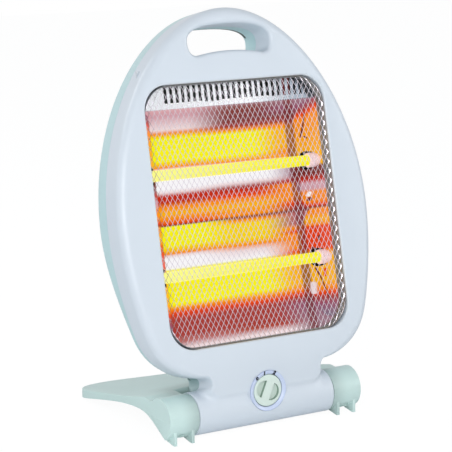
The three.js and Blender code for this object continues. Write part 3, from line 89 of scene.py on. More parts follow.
class HeaterBodySizes(bpy.types.PropertyGroup):
    lean: angle("Lean", "How far the body leans back", 12.9)
    barrel_radius: length("Barrel radius", "Radius of the barrel at the bottom of the body", 0.0207)
    barrel_half: length("Barrel half length", "From the middle to the barrel's end", 0.0763)
    top: length("Top", "Height of the body above the barrel's axis", 0.3797)
    waist_height: length("Waist height", "Height of the widest place", 0.180)
    waist_half: length("Waist half width", "Half of the greatest width", 0.1391)
    crown_rise: length("Crown rise", "Reach of the outline's curve above the waist", 0.110)
    crown_reach: length("Crown reach", "Reach of the outline's curve beside the top", 0.0695)
    hip_height: length("Hip height", "Height of the lower corners", 0.078)
    hip_half: length("Hip half width", "Half width at the lower corners", 0.1236)
    flank_lead: length("Flank lead", "Reach of the curve below the waist", 0.036)
    hip_lead: length("Hip lead", "Reach of the curve at the hip", 0.028)
    hip_draw: length("Hip draw", "How far the outline draws in over one hip lead", 0.0086)
    under_lead: length("Under lead", "Reach of the curve under the hip", 0.025)
    under_rise: length("Under rise", "Rise of that curve", 0.0023)
    shoulder: length("Shoulder height", "Height of the body's underside beside the neck", 0.0331)
    neck_half: length("Neck half width", "Half width of the neck at the notches", 0.0618)
    neck_top: length("Neck top", "Where the flat faces start to draw in to the barrel", 0.048)
    front_depth: length("Front depth", "From the parting plane to the front face", 0.0273)
    rear_depth: length("Rear depth", "From the parting plane to the rear face", 0.022)
    edge_round: length("Edge rounding", "Radius along the shells' outer edges", 0.009)
    wall: length("Wall", "Thickness of the moulded shells", 0.0025)
    seam: length("Seam", "Gap between the shells", 0.0004)
    rear_hip_inset: length("Rear hip inset", "How much narrower the rear shell is at the hip", 0.005)


class HeaterWindowSizes(bpy.types.PropertyGroup):
    half_width: length("Half width", "Half width of the window", 0.100)
    bottom: length("Bottom", "Lower edge of the window", 0.0615)
    top: length("Top", "Upper edge of the window", 0.3095)
    corner: length("Corner radius", "Radius of the window's corners", 0.025)
    lip: length("Lip", "Rounding of the window's lip", 0.0021)
    rim_wall: length("Rim wall", "Thickness of the wall behind the lip", 0.0022)
    rim_depth: length("Rim depth", "Depth of the wall behind the lip", 0.0116)
    cell_width: length("Cell width", "Width of a diamond of the guard", 0.0056)
    cell_height: length("Cell height", "Height of a diamond of the guard", 0.0094)
    strand: length("Strand", "Thickness of the guard's strands", 0.00072)
    guard_setback: length("Guard setback", "From the front face to the guard", 0.0019)
    guard_corner: length("Guard corner", "Radius of the guard's corners", 0.0305)
    guard_bend: length("Guard bend", "Radius where the guard turns back", 0.0022)
    guard_flange: length("Guard flange", "Width of the flange behind the lip", 0.005)


class HeaterHandleSizes(bpy.types.PropertyGroup):
    half_width: length("Half width", "Half width of the carrying hole at its narrowest", 0.0456)
    top: length("Top", "Top of the hole", 0.3637)
    shoulder: length("Shoulder", "Height where the hole is widest", 0.348)
    shoulder_lead: length("Shoulder lead", "Reach of the curve above that", 0.012)
    top_lead: length("Top lead", "Reach of the curve beside the top", 0.028)
    bottom: length("Bottom", "Lower corners of the hole", 0.3348)
    bottom_half: length("Bottom half width", "Half width at the lower corners", 0.036)
    bottom_arch: length("Bottom arch", "Rise of the lower edge's curve", 0.007)
    corner_lead: length("Corner lead", "Sideways reach of the corner's curve", 0.007)
    corner_rise: length("Corner rise", "Upward reach of the corner's curve", 0.008)
    lip: length("Lip", "Rounding of the hole's lip", 0.004)


class HeaterElementSizes(bpy.types.PropertyGroup):
    tube_radius: length("Tube radius", "Outer radius of a quartz tube", 0.00525)
    tube_bore: length("Tube bore", "Inner radius of a quartz tube", 0.00425)
    tube_half: length("Tube half length", "Half length of a quartz tube", 0.094)
    tube_depth: length("Tube depth", "Depth of the tubes' axes", -0.0035)
    tube_shift: length("Tube shift", "How far the tubes sit to the right of the middle", -0.0022)
    upper: length("Upper tube", "Height of the upper tube", 0.2265)
    lower: length("Lower tube", "Height of the lower tube", 0.1305)
    coil_radius: length("Coil radius", "Radius of the heating coil", 0.0032)
    coil_wire: length("Coil wire", "Radius of the coil's wire", 0.00045)
    coil_half: length("Coil half length", "Half length of the coil", 0.088)
    coil_turns: IntProperty(name="Coil turns", description="Turns of the heating coil", default=60, min=4)
    nose_radius: length("Ceramic nose", "Radius of a ceramic cap", 0.0073)
    nose_start: length("Ceramic start", "Where a cap starts along the tube", 0.089)
    nose_end: length("Ceramic shoulder", "Where its nose ends", 0.1012)
    neck_radius: length("Ceramic neck", "Radius of a cap's neck", 0.0053)
    cap_end: length("Ceramic end", "Where a cap ends", 0.107)
    sheet: length("Sheet", "Thickness of the reflector's sheet", 0.0008)
    strip_depth: length("Strip depth", "Depth of the slotted strip", -0.013)
    ridge_depth: length("Ridge depth", "Depth of the ridge between the troughs", -0.002)
    bulge: length("Bulge", "Reach of the troughs' curve", 0.0145)
    ridge_height: length("Ridge height", "Height of the ridge", 0.1787)
    strip_bottom: length("Strip bottom", "Where the strip meets the upper trough", 0.2875)
    strip_top: length("Strip top", "Top of the slotted strip", 0.325)
    trough_bottom: length("Trough bottom", "Where the lower trough meets the lip", 0.069)
    lip_bottom: length("Lip bottom", "Bottom of the reflector's lip", 0.046)
    outer_lead: length("Outer lead", "Reach of a trough's curve at its outer edge", 0.0065)
    ridge_lead: length("Ridge lead", "Reach of a trough's curve at the ridge", 0.0173)
    slot_pitch: length("Slot pitch", "From slot to slot", 0.0063)
    slot_width: length("Slot width", "Width of a slot", 0.0033)
    slot_shift: length("Slot shift", "How far the row of slots sits to the right of the middle", 0.0094)
    slot_bottom: length("Slot bottom", "Lower end of the slots", 0.292)
    slot_top: length("Slot top", "Upper end of the slots", 0.310)
    slot_count: IntProperty(name="Slots", description="Slots in the strip", default=26, min=2)
    plate_rear_half: length("End plate rear", "Half width between the end plates at the back", 0.0772)
    plate_rear_depth: length("End plate depth", "Depth of the end plates' back edges", 0.0126)
    plate_fold_half: length("End plate fold", "Half width between the end plates at their folds", 0.0865)
    plate_fold_depth: length("Fold depth", "Depth of the end plates' folds", -0.005)
    plate_front_half: length("End plate front", "Half width between the end plates at the front", 0.098)
    plate_front_depth: length("Front depth", "Depth of the end plates' front edges", -0.013)
    plate_hem: length("End plate hem", "Half width over the hems in front of the plates", 0.1005)
    plate_hole: length("End plate hole", "Radius of the holes round the ceramics", 0.0092)
    plate_top: length("End plate top", "Upper edge of the end plates", 0.311)


class HeaterDialSizes(bpy.types.PropertyGroup):
    height: length("Height", "Height of the dial on the body", 0.0115)
    depth: length("Depth", "Depth of the dial's plane", 0.0224)
    nod: angle("Nod", "How far the dial looks down from the front face", 11)
    ring_radius: length("Ring radius", "Outer radius of the ring", 0.0197)
    ring_proud: length("Ring proud", "How far the ring stands proud", 0.0011)
    ring_seat: length("Ring seat", "Depth of the ring's seat", 0.0022)
    knob_radius: length("Knob radius", "Radius of the knob", 0.0156)
    knob_face: length("Knob face", "Place of the knob's face along its axis", -0.0004)
    knob_back: length("Knob back", "Place of the knob's back edge", -0.0066)
    knob_round: length("Knob rounding", "Rounding of the knob's edge", 0.0012)
    grip_half: length("Grip half width", "Half width of the grip between the recesses", 0.0044)
    recess_radius: length("Recess radius", "Radius of the half-round recesses", 0.0085)
    recess_depth: length("Recess depth", "Depth of the recesses", 0.004)
    rest: angle("Setting", "How far the knob is turned clockwise from the top", 23)
    figure: length("Figure height", "Height of the dial's figures", 0.0054)
    well_depth: length("Well depth", "Depth of the well behind the knob", 0.0072)


class HeaterFootSizes(bpy.types.PropertyGroup):
    cap_radius: length("Cap radius", "Radius of the caps at the barrel's ends", 0.0201)
    half_width: length("Half width", "Half width of the foot", 0.108)
    cap_inner: length("Cap inner face", "Where the caps start beside the barrel", 0.0766)
    plate_front: length("Plate front", "Front edge of the plate behind the neck", 0.037)
    tongue_front: length("Tongue front", "Front edge of the plate behind the barrel's ends", 0.0182)
    beside_neck: length("Beside neck", "Where the plate reaches further forward beside the neck", 0.0695)
    ramp_depth: length("Ramp depth", "Where the caps' slope meets the plate", 0.033)
    ramp_height: length("Ramp height", "Height of the plate there", 0.0356)
    cap_leave: angle("Cap leave", "Angle at which the plate leaves the caps' round", 50)
    cap_lead: length("Cap lead", "Reach of the curve off the cap", 0.009)
    rear_height: length("Rear height", "Height of the plate's rear edge", 0.0064)
    rear_depth: length("Rear depth", "Depth of the rear edge in the middle", 0.1685)
    lobe_depth: length("Lobe depth", "Depth of the rear edge's lobes", 0.183)
    lobe_half: length("Lobe half width", "Where the lobes reach furthest", 0.072)
    corner_start: length("Corner start", "Where the sides start to round", 0.148)
    corner_lead: length("Corner lead", "Reach of the corners' curve", 0.024)
    ramp_lead: length("Ramp lead", "Reach of the plate's curve behind the ramp", 0.044)
    ramp_fall: length("Ramp fall", "Fall of that curve", 0.0115)
    rear_lead: length("Rear lead", "Reach of the plate's curve before the rear", 0.060)
    rear_rise: length("Rear rise", "Rise of that curve", 0.0104)
    land_start: length("Land start", "Where the underside comes down", 0.164)
    land_lift: length("Land lift", "Height of the underside there", 0.0006)
    arch_depth: length("Arch depth", "Where the arch under the foot starts", 0.038)
    arch_lead: length("Arch lead", "Reach of the arch's curve in front", 0.037)
    land_lead: length("Land lead", "Reach of the arch's curve behind", 0.044)
    land_rise: length("Land rise", "Rise of that curve", 0.0089)
    crown: length("Crown", "How far the plate swells in its middle", 0.0052)
    edge_round: length("Edge rounding", "Rounding along the foot's edges", 0.0013)
    fin_depth: length("Fin depth", "Reach of the fins to the front", 0.0184)
    fin_thickness: length("Fin thickness", "Thickness of a fin", 0.003)
    fin_top: length("Fin top", "Height of the fins' front edges", 0.013)
    fin_inner: length("Inner fin", "Place of the inner fins", 0.0827)
    fin_outer: length("Outer fin", "Place of the outer fins", 0.1015)


class HeaterFinishes(bpy.types.PropertyGroup):
    front: colour("Front shell", "Pale bluish white plastic", "d6dfe8")
    rear: colour("Rear shell", "Pale mint plastic", "c2dfe2")
    foot: colour("Foot", "Pale mint plastic", "cee6e2")
    knob: colour("Knob", "Paler mint plastic", "dcebe2")
    dial: colour("Dial ring", "Lavender blue plastic", "cfdbf5")
    figures: colour("Figures", "Dark blue ink", "161a2c")


def sizes(context, name):
    return getattr(context.scene, "heater_" + name)


def body_matrix():
    lean = bpy.context.scene.heater_body.lean
    return Matrix.Translation(joint_places["body_tilt"]) @ Matrix.Rotation(-lean, 4, "X")


def dial_matrix():
    dial = bpy.context.scene.heater_dial
    place = Matrix.Translation((0, -dial.depth, dial.height))
    return body_matrix() @ place @ Matrix.Rotation(QUARTER + dial.nod, 4, "X")


def foot_matrix():
    tilt = joint_places["body_tilt"]
    return Matrix.Translation((0, tilt.y, 0))


# Curves and outlines

def bezier(start, lead, trail, end, steps):
    points, corners = [], (start, lead, trail, end)
    for i in range(steps + 1):
        t = i / steps
        u = 1 - t
        weights = (u ** 3, 3 * u * u * t, 3 * u * t * t, t ** 3)
        points.append(tuple(sum(w * p[k] for w, p in zip(weights, corners)) for k in (0, 1)))
    return points


def arc(centre, radius, start, end, steps):
    turns = [start + (end - start) * i / steps for i in range(steps + 1)]
    return [(centre[0] + radius * math.cos(a), centre[1] + radius * math.sin(a)) for a in turns]


def mirrored(half):
    return half + [(-x, y) for x, y in reversed(half) if x > 1e-9]


def inset(points, distances):
    """Draw a closed outline in by a distance, or by one distance for each of its points."""
    count = len(points)
    if not isinstance(distances, list):
        distances = [distances] * count
    area = sum(points[i - 1][0] * points[i][1] - points[i][0] * points[i - 1][1] for i in range(count))
    inwards = 1 if area > 0 else -1
    moved = []
    for i, (x, y) in enumerate(points):
        before = Vector(points[i - 1])
        after = Vector(points[(i + 1) % count])
        here = Vector((x, y))
        a = (here - before).normalized()
        b = (after - here).normalized()
        a, b = Vector((-a.y, a.x)), Vector((-b.y, b.x))
        middle = (a + b).normalized()
        shift = middle * (inwards * distances[i] / max(middle.dot(a), 0.35))
        moved.append((x + shift.x, y + shift.y))
    return moved


def rounded_rectangle(left, right, bottom, top, radius, steps=10):
    corners = [(right, top, 0), (left, top, 1), (left, bottom, 2), (right, bottom, 3)]
    points = []
    for x, y, turn in corners:
        across = math.copysign(radius, x - (left + right) / 2)
        up = math.copysign(radius, y - (bottom + top) / 2)
        points += arc((x - across, y - up), radius, turn * QUARTER, (turn + 1) * QUARTER, steps)
    return points


def smooth_step(low, high, value):
    t = min(max((value - low) / (high - low), 0.0), 1.0)
    return t * t * (3 - 2 * t)


def along(line, place, axis=0):
    """Read a line of points, sorted along one axis, at a place on that axis."""
    other = 1 - axis
    if place <= line[0][axis]:
        return line[0][other]
    for a, b in zip(line, line[1:]):
        if place <= b[axis]:
            return a[other] + (b[other] - a[other]) * (place - a[axis]) / (b[axis] - a[axis])
    return line[-1][other]


# Meshes

def loft(rings, closed_ends=True):
    """A skin through rings of points, each ring with as many points as the next."""
    bm = bmesh.new()
    rows = [[bm.verts.new(p) for p in ring] for ring in rings]
    count = len(rings[0])
    for a, b in zip(rows, rows[1:]):
        for i in range(count):
            j = (i + 1) % count
            bm.faces.new((a[i], a[j], b[j], b[i]))
    if closed_ends:
        bm.faces.new(rows[0][::-1])
        bm.faces.new(rows[-1])
    return bm


def turned(profile, sides=64):
    """Turn a closed profile of (radius, height) pairs about the z axis."""
    bm = bmesh.new()
    rows = []
    for radius, height in profile:
        if radius < 1e-9:
            rows.append([bm.verts.new((0, 0, height))] * sides)
            continue
        turns = [2 * HALF_TURN * k / sides for k in range(sides)]
        rows.append([bm.verts.new((radius * math.cos(a), radius * math.sin(a), height)) for a in turns])
    for a, b in zip(rows, rows[1:] + rows[:1]):
        for i in range(sides):
            j = (i + 1) % sides
            corners = list(dict.fromkeys((a[i], a[j], b[j], b[i])))
            if len(corners) > 2:
                bm.faces.new(corners)
    return bm


def prism(outline, start, end, plane="xz"):
    """An outline made solid from start to end, across the plane that it is drawn in."""
    place = {
        "xz": lambda p, d: (p[0], d, p[1]),
        "yz": lambda p, d: (d, p[0], p[1]),
        "xy": lambda p, d: (p[0], p[1], d),
    }[plane]
    return loft([[place(p, d) for p in outline] for d in (start, end)])


def block(low, high):
    corners = [(low[0], low[1]), (high[0], low[1]), (high[0], high[1]), (low[0], high[1])]
    return prism(corners, low[2], high[2], "xy")


def cut_planes(bm, axis, places):
    normal = Vector([1 if k == axis else 0 for k in range(3)])
    for place in places:
        everything = bm.verts[:] + bm.edges[:] + bm.faces[:]
        bmesh.ops.bisect_plane(bm, geom=everything, dist=1e-7, plane_co=normal * place, plane_no=normal)


def thing(name, bm, matrix=None):
    """Make a linked object of a bmesh, with its faces pointing out."""
    if matrix is not None:
        bm.transform(matrix)
    bmesh.ops.remove_doubles(bm, verts=bm.verts[:], dist=2e-6)
    bmesh.ops.dissolve_degenerate(bm, edges=bm.edges[:], dist=1e-6)
    bmesh.ops.recalc_face_normals(bm, faces=bm.faces[:])
    mesh = bpy.data.meshes.new(name)
    bm.to_mesh(mesh)
    bm.free()
    made = bpy.data.objects.new(name, mesh)
    bpy.context.scene.collection.objects.link(made)
    return made


def bake_modifiers(piece):
    view = bpy.context.evaluated_depsgraph_get()
    mesh = bpy.data.meshes.new_from_object(piece.evaluated_get(view))
    old = piece.data
    piece.modifiers.clear()
    piece.data = mesh
    mesh.name = piece.name
    bpy.data.meshes.remove(old)


def combine(piece, operation, others):
    """Join solids to a piece, or cut them from it, and remove them."""
    for other in others:
        step = piece.modifiers.new("combine", "BOOLEAN")
        step.operation = operation
        step.solver = "EXACT"
        step.object = other
        bake_modifiers(piece)
        mesh = other.data
        bpy.data.objects.remove(other)
        bpy.data.meshes.remove(mesh)
    return piece


def soften(piece, width, segments=2, limit=38):
    """Round a piece's sharp edges a little, as a mould does."""
    step = piece.modifiers.new("soften", "BEVEL")
    step.width = width
    step.segments = segments
    step.limit_method = "ANGLE"
    step.angle_limit = math.radians(limit)
    step.use_clamp_overlap = True
    step.harden_normals = False
    bake_modifiers(piece)


def finish_piece(piece, body, material, nodes=(), smooth=SMOOTH_ANGLE):
    """Shade a piece, give it its material, and hang it on its body."""
    mesh = piece.data
    mesh.shade_smooth()
    mesh.set_sharp_from_angle(angle=smooth)
    mesh.materials.clear()
    mesh.materials.append(material)
    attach(piece, body)
    if nodes:
        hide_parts(*nodes)
    return piece


def join_meshes(name, bms):
    """Put several bmeshes into one."""
    whole = bmesh.new()
    for bm in bms:
        mesh = bpy.data.meshes.new(name)
        bm.to_mesh(mesh)
        bm.free()
        whole.from_mesh(mesh)
        bpy.data.meshes.remove(mesh)
    return whole


# Materials

SMOOTH = {"interpolation_type": "SMOOTHSTEP"}
COLOURS = {"data_type": "RGBA"}
BLACK = (0.0, 0.0, 0.0, 1.0)
WHITE = (1.0, 1.0, 1.0, 1.0)


def add_node(tree, kind, inputs=None, **settings):
    """Add a shader node with its settings; inputs are set, or linked to a node's first output in use."""
    node = tree.nodes.new("ShaderNode" + kind)
    for name, value in settings.items():
        setattr(node, name, value)
    for name, value in (inputs or {}).items():
        if isinstance(value, bpy.types.Node):
            value = next(output for output in value.outputs if output.enabled)
        if isinstance(value, bpy.types.NodeSocket):
            tree.links.new(value, node.inputs[name])
        else:
            node.inputs[name].default_value = value
    return node


def span(value, start, end, low=0.0, high=1.0):
    """Inputs that run from low to high while a value runs from start to end."""
    return {"Value": value, "From Min": start, "From Max": end, "To Min": low, "To Max": high}


def new_material(name):
    material = bpy.data.materials.new(name)
    material.use_nodes = True
    tree = material.node_tree
    tree.nodes.clear()
    return material, tree


def shade(base, factor):
    return tuple(c * factor for c in base[:3]) + (1.0,)


def moulded_plastic(name, base, roughness, grain=1.1 * MM, shadows=None, dark="1b2a24"):
    """Injection-moulded ABS: even colour with a faint cloudiness, and a fine spark-eroded grain.

    shadows takes the node tree and gives the share of the dark colour, where light hardly comes.
    """
    cloud_size, cloudiness, grain_depth = 45 * MM, 0.035, 0.02 * MM
    material, tree = new_material(name)
    place = add_node(tree, "TexCoord").outputs["Object"]
    cloud = add_node(tree, "TexNoise", {"Vector": place, "Scale": 1 / cloud_size, "Detail": 3.0})
    tint = add_node(tree, "Mix", {
        "Factor": cloud, "A": base, "B": shade(base, 1 - cloudiness),
    }, **COLOURS)
    if shadows is not None:
        tint = add_node(tree, "Mix", {"Factor": shadows(tree), "A": tint, "B": linear(dark)}, **COLOURS)
    # The real grain is about 0.1 mm, which is too fine to show, so it is drawn coarser
    texture = add_node(tree, "TexNoise", {"Vector": place, "Scale": 1 / grain, "Roughness": 0.6})
    bump = add_node(tree, "Bump", {"Height": texture, "Distance": grain_depth, "Strength": 0.35})
    worn = add_node(tree, "MapRange", span(cloud, 0.0, 1.0, roughness - 0.04, roughness + 0.06))
    shader = add_node(tree, "BsdfPrincipled", {
        "Base Color": tint, "Roughness": worn, "Normal": bump, "IOR": 1.54,
    })
    add_node(tree, "OutputMaterial", {"Surface": shader})
    return material


def sheet_metal(name, base, roughness, grain, variation):
    """Rolled or plated metal: bright, with small differences of gloss."""
    material, tree = new_material(name)
    place = add_node(tree, "TexCoord").outputs["Object"]
    texture = add_node(tree, "TexNoise", {"Vector": place, "Scale": 1 / grain, "Detail": 3.0})
    least, most = roughness * (1 - variation), roughness * (1 + variation)
    gloss = add_node(tree, "MapRange", span(texture, 0.0, 1.0, least, most))
    shader = add_node(tree, "BsdfPrincipled", {"Base Color": base, "Metallic": 1.0, "Roughness": gloss})
    add_node(tree, "OutputMaterial", {"Surface": shader})
    return material


def mesh_steel(name, window, body):
    """Bright plated mesh: small white glints on the face, and duller where it is pressed back along the tray,
    where its darker grey is painted shade.
    """
    material, tree = new_material(name)
    fold = window.guard_setback - body.front_depth + window.strand / 2
    depth = body_place(tree)[1]
    past = add_node(tree, "MapRange", span(depth, fold, fold + 0.9 * MM), **SMOOTH)
    # The darker grey past the fold is painted shade of the tray's side
    bright, painted_shade_grey = linear("e6dfe8"), linear("a9adb2")
    tint = add_node(tree, "Mix", {"Factor": past, "A": bright, "B": painted_shade_grey}, **COLOURS)
    gloss = add_node(tree, "MapRange", span(past, 0.0, 1.0, 0.25, 0.6))
    shader = add_node(tree, "BsdfPrincipled", {"Base Color": tint, "Metallic": 1.0, "Roughness": gloss})
    add_node(tree, "OutputMaterial", {"Surface": shader})
    return material


def matt_solid(name, base, roughness, size=0.8 * MM, mottle=0.12, glow=0.0):
    """Rubber, fibre, ceramic, ink or a sleeve: dull, with fine blotches; glow is the tubes' light on it."""
    material, tree = new_material(name)
    place = add_node(tree, "TexCoord").outputs["Object"]
    texture = add_node(tree, "TexNoise", {"Vector": place, "Scale": 1 / size, "Detail": 3.0})
    tint = add_node(tree, "Mix", {"Factor": texture, "A": base, "B": shade(base, 1 - mottle)}, **COLOURS)
    bump = add_node(tree, "Bump", {"Height": texture, "Distance": 0.03 * MM, "Strength": 0.4})
    shader = add_node(tree, "BsdfPrincipled", {
        "Base Color": tint, "Roughness": roughness, "Normal": bump,
        "Emission Color": base, "Emission Strength": glow,
    })
    add_node(tree, "OutputMaterial", {"Surface": shader})
    return material


# The hot tubes' light as the aluminium mirrors it
GLOW = {
    "white": "f9f7fa",
    "blush": "eedadb",
    "rose": "cf9ca6",
    "rosewood": "b2676a",
    "ash": "826e82",
    "mauve": "9b7a86",
    "plum": "93526a",
    "wine": "84403f",
    "maroon": "742a2a",
    "brick": "a63c36",
    "dark_red": "c0260c",
    "red": "e33e08",
    "orange": "f58a10",
    "amber": "f6b010",
    "gold": "f5d20e",
    "yellow": "f6ef0a",
    "lemon": "f7f78c",
    "shade": "20272b",
}


def body_place(tree):
    """A point's place on the leaning body, in metres: across, depth and height from the barrel's axis."""
    lean = bpy.context.scene.heater_body.lean
    point = add_node(tree, "TexCoord").outputs["Object"]
    places = [add_node(tree, "SeparateXYZ", {0: point}).outputs["X"]]
    for way in (Vector((0, math.cos(lean), -math.sin(lean))), Vector((0, math.sin(lean), math.cos(lean)))):
        reach = add_node(tree, "VectorMath", {0: point, 1: way}, operation="DOT_PRODUCT")
        axis = joint_places["body_tilt"].dot(way)
        places.append(add_node(tree, "Math", {0: reach, 1: -axis}, operation="ADD"))
    return places


def faces_front(tree):
    """1 on the sheet's inner side, which the tubes light, and 0 on its back and its edges."""
    normal = add_node(tree, "SeparateXYZ", {0: add_node(tree, "TexCoord").outputs["Normal"]})
    return add_node(tree, "Math", {0: normal.outputs["Y"], 1: -0.04}, operation="LESS_THAN")


def height_ramp(tree, height, stops):
    """Colours by height: stops hold heights in millimetres and names of glow colours."""
    bottom, top = stops[0][0], stops[-1][0]
    share = add_node(tree, "MapRange", span(height, bottom * MM, top * MM))
    ramp = add_node(tree, "ValToRGB", {"Fac": share})
    elements = ramp.color_ramp.elements
    places = [((z - bottom) / (top - bottom), linear(GLOW[name])) for z, name in stops]
    elements[0].position, elements[0].color = places[0]
    elements[1].position, elements[1].color = places[-1]
    for place, value in places[1:-1]:
        elements.new(place).color = value
    return ramp


# The bands of light that the hot tubes throw on the troughs, upwards from the lip
LEFT_BANDS = [
    (46, "blush"), (64, "blush"), (70, "rosewood"), (76, "brick"), (89, "brick"), (96, "red"),
    (100, "orange"), (104, "yellow"), (136, "yellow"), (138, "white"), (147, "white"), (150, "blush"),
    (152, "orange"), (157, "gold"), (160, "yellow"), (177.7, "yellow"), (178.7, "maroon"),
    (180.2, "red"), (185, "orange"), (190, "amber"), (196, "orange"), (201, "dark_red"),
    (207, "dark_red"), (210, "blush"), (213, "white"), (231, "white"), (234, "orange"), (240, "yellow"),
    (261, "yellow"), (266, "orange"), (269.5, "blush"), (282, "rose"),
]
MIDDLE_BANDS = [
    (46, "blush"), (65, "blush"), (71, "brick"), (90, "brick"), (95, "red"), (99.5, "orange"),
    (105, "yellow"), (136, "yellow"), (138, "white"), (146, "blush"), (151, "orange"), (157, "gold"),
    (172, "gold"), (176, "orange"), (178.7, "maroon"), (180.5, "orange"), (190, "amber"),
    (196, "orange"), (200, "red"), (205, "dark_red"), (208, "brick"), (212, "blush"), (215, "white"),
    (231, "white"), (233, "orange"), (239, "yellow"), (260, "yellow"), (263.5, "orange"),
    (267, "brick"), (272, "wine"), (284, "wine"), (287.5, "mauve"),
]
RIGHT_BANDS = [
    (46, "ash"), (66, "mauve"), (88, "plum"), (93, "brick"), (97, "red"), (101, "orange"),
    (107, "amber"), (134, "amber"), (138, "red"), (142, "orange"), (155, "orange"), (158, "red"),
    (161.5, "orange"), (166, "rosewood"), (176, "rosewood"), (178.7, "maroon"), (181, "brick"),
    (186, "red"), (191, "orange"), (205, "orange"), (208, "dark_red"), (214, "plum"), (221, "plum"),
    (231, "amber"), (236, "orange"), (244, "amber"), (259, "amber"), (264, "orange"), (268, "brick"),
    (273, "wine"), (280, "plum"), (287.5, "mauve"),
]
END_BANDS = [
    (60, "ash"), (74, "ash"), (84, "plum"), (91, "brick"), (95, "red"), (100, "orange"), (107, "amber"),
    (134, "amber"), (139, "red"), (161, "red"), (163, "orange"), (168, "amber"), (174, "orange"),
    (178.5, "orange"), (180, "maroon"), (182, "red"), (187, "orange"), (195, "orange"), (198.5, "rose"),
    (204, "rose"), (207, "dark_red"), (214, "maroon"), (220.5, "maroon"), (223, "amber"),
    (232, "amber"), (267, "orange"), (272, "red"), (276, "brick"), (281, "plum"), (286.5, "plum"),
    (288.5, "shade"), (311, "shade"),
]


def shadow_line(tree, across, depth):
    """A painted dark reflection: a band that stands at the troughs' right ends."""
    slant, middle = 0.55, 73.6 * MM
    leaning = add_node(tree, "Math", {0: depth, 1: -slant, 2: across}, operation="MULTIPLY_ADD")
    past = add_node(tree, "Math", {0: leaning, 1: -middle}, operation="ADD")
    off = add_node(tree, "Math", {0: past}, operation="ABSOLUTE")
    return add_node(tree, "MapRange", span(off, 3.5 * MM, 6.5 * MM, 0.72, 0.0), **SMOOTH)


def near_line(tree, place, start, end, width):
    """1 on a short line from start to end, each (across, height) in millimetres, and 0 off it."""
    a, b = (Vector((x, 0, z)) * MM for x, z in (start, end))
    way = (b - a).normalized()
    from_start = add_node(tree, "VectorMath", {0: place, 1: a}, operation="SUBTRACT")
    share = add_node(tree, "VectorMath", {0: from_start, 1: way}, operation="DOT_PRODUCT")
    reach = add_node(tree, "Clamp", {"Value": share, "Min": 0.0, "Max": (b - a).length})
    nearest = add_node(tree, "VectorMath", {0: way, "Scale": reach}, operation="SCALE")
    off = add_node(tree, "VectorMath", {0: from_start, 1: nearest}, operation="DISTANCE")
    edge = span(off, width * MM / 4, width * MM * 0.75, 1.0, 0.0)
    return add_node(tree, "MapRange", edge, **SMOOTH)


def lit_aluminium(name, element):
    """Polished aluminium sheet: bright where it is cold, with painted shade darkening it towards the right,
    and banded with the light of the hot tubes.
    """
    material, tree = new_material(name)
    across, depth, height = body_place(tree)
    left, middle, right = (
        height_ramp(tree, height, stops) for stops in (LEFT_BANDS, MIDDLE_BANDS, RIGHT_BANDS)
    )
    share = add_node(tree, "MapRange", span(across, -45 * MM, 5 * MM), **SMOOTH)
    bands = add_node(tree, "Mix", {"Factor": share, "A": left, "B": middle}, **COLOURS)
    # The white band under the upper tube reaches 15 mm further to the right than the others
    above = add_node(tree, "MapRange", span(height, 206 * MM, 211 * MM), **SMOOTH)
    below = add_node(tree, "MapRange", span(height, 237 * MM, 231 * MM), **SMOOTH)
    white = add_node(tree, "Math", {0: above, 1: below}, operation="MULTIPLY")
    shifted = add_node(tree, "Math", {0: white, 1: -15 * MM, 2: across}, operation="MULTIPLY_ADD")
    share = add_node(tree, "MapRange", span(shifted, 30 * MM, 72 * MM), **SMOOTH)
    bands = add_node(tree, "Mix", {"Factor": share, "A": bands, "B": right}, **COLOURS)
    dark, orange = linear(GLOW["maroon"]), linear(GLOW["orange"])
    # Painted dark reflection standing at the troughs' right ends
    dark_band = shadow_line(tree, across, depth)
    bands = add_node(tree, "Mix", {"Factor": dark_band, "A": bands, "B": dark}, **COLOURS)
    # The left end plate's glow, mirrored low in the corner
    place = add_node(tree, "CombineXYZ", {"X": across, "Z": height})
    corner = near_line(tree, place, (-97, 74), (-90, 71), 11.0)
    bands = add_node(tree, "Mix", {"Factor": corner, "A": bands, "B": orange}, **COLOURS)
    # Painted shade: the cold sheet grows darker towards the right
    grey = add_node(tree, "MapRange", span(across, 10 * MM, 80 * MM), **SMOOTH)
    cold = add_node(tree, "Mix", {
        "Factor": grey, "A": linear("e4e8ec"), "B": linear("8f98a3"),
    }, **COLOURS)
    under = add_node(tree, "Math", {0: height, 1: element.strip_bottom - 0.2 * MM}, operation="LESS_THAN")
    warm = add_node(tree, "Math", {0: under, 1: faces_front(tree)}, operation="MULTIPLY")
    base = add_node(tree, "Mix", {"Factor": warm, "A": cold, "B": linear("1c1513")}, **COLOURS)
    light = add_node(tree, "Mix", {"Factor": warm, "A": BLACK, "B": bands}, **COLOURS)
    point = add_node(tree, "TexCoord").outputs["Object"]
    texture = add_node(tree, "TexNoise", {"Vector": point, "Scale": 1 / (9 * MM)})
    shader = add_node(tree, "BsdfPrincipled", {
        "Base Color": base, "Metallic": 1.0,
        "Roughness": add_node(tree, "MapRange", span(texture, 0.0, 1.0, 0.2, 0.32)),
        "Emission Color": light, "Emission Strength": 0.97,
    })
    add_node(tree, "OutputMaterial", {"Surface": shader})
    return material


# Painted shade in creases, painted highlights and dark spots on the right end plate: start, end, width and
# colour
PLATE_MARKS = [
    ((88, 273), (84, 250), 1.0, "maroon"), ((84, 120), (91.5, 88), 1.0, "maroon"),
    ((81.8, 96), (81.8, 105), 3.2, "blush"), ((84.6, 192), (85.4, 194.5), 2.4, "white"),
    ((84.6, 187.5), (85.2, 189), 2.4, "maroon"), ((86, 250), (87.6, 248.5), 1.2, "maroon"),
    ((88.3, 148), (88.7, 151), 2.0, "maroon"), ((83.4, 136), (83.8, 140), 2.0, "maroon"),
    ((89.5, 112), (90.5, 118), 2.2, "red"),
]


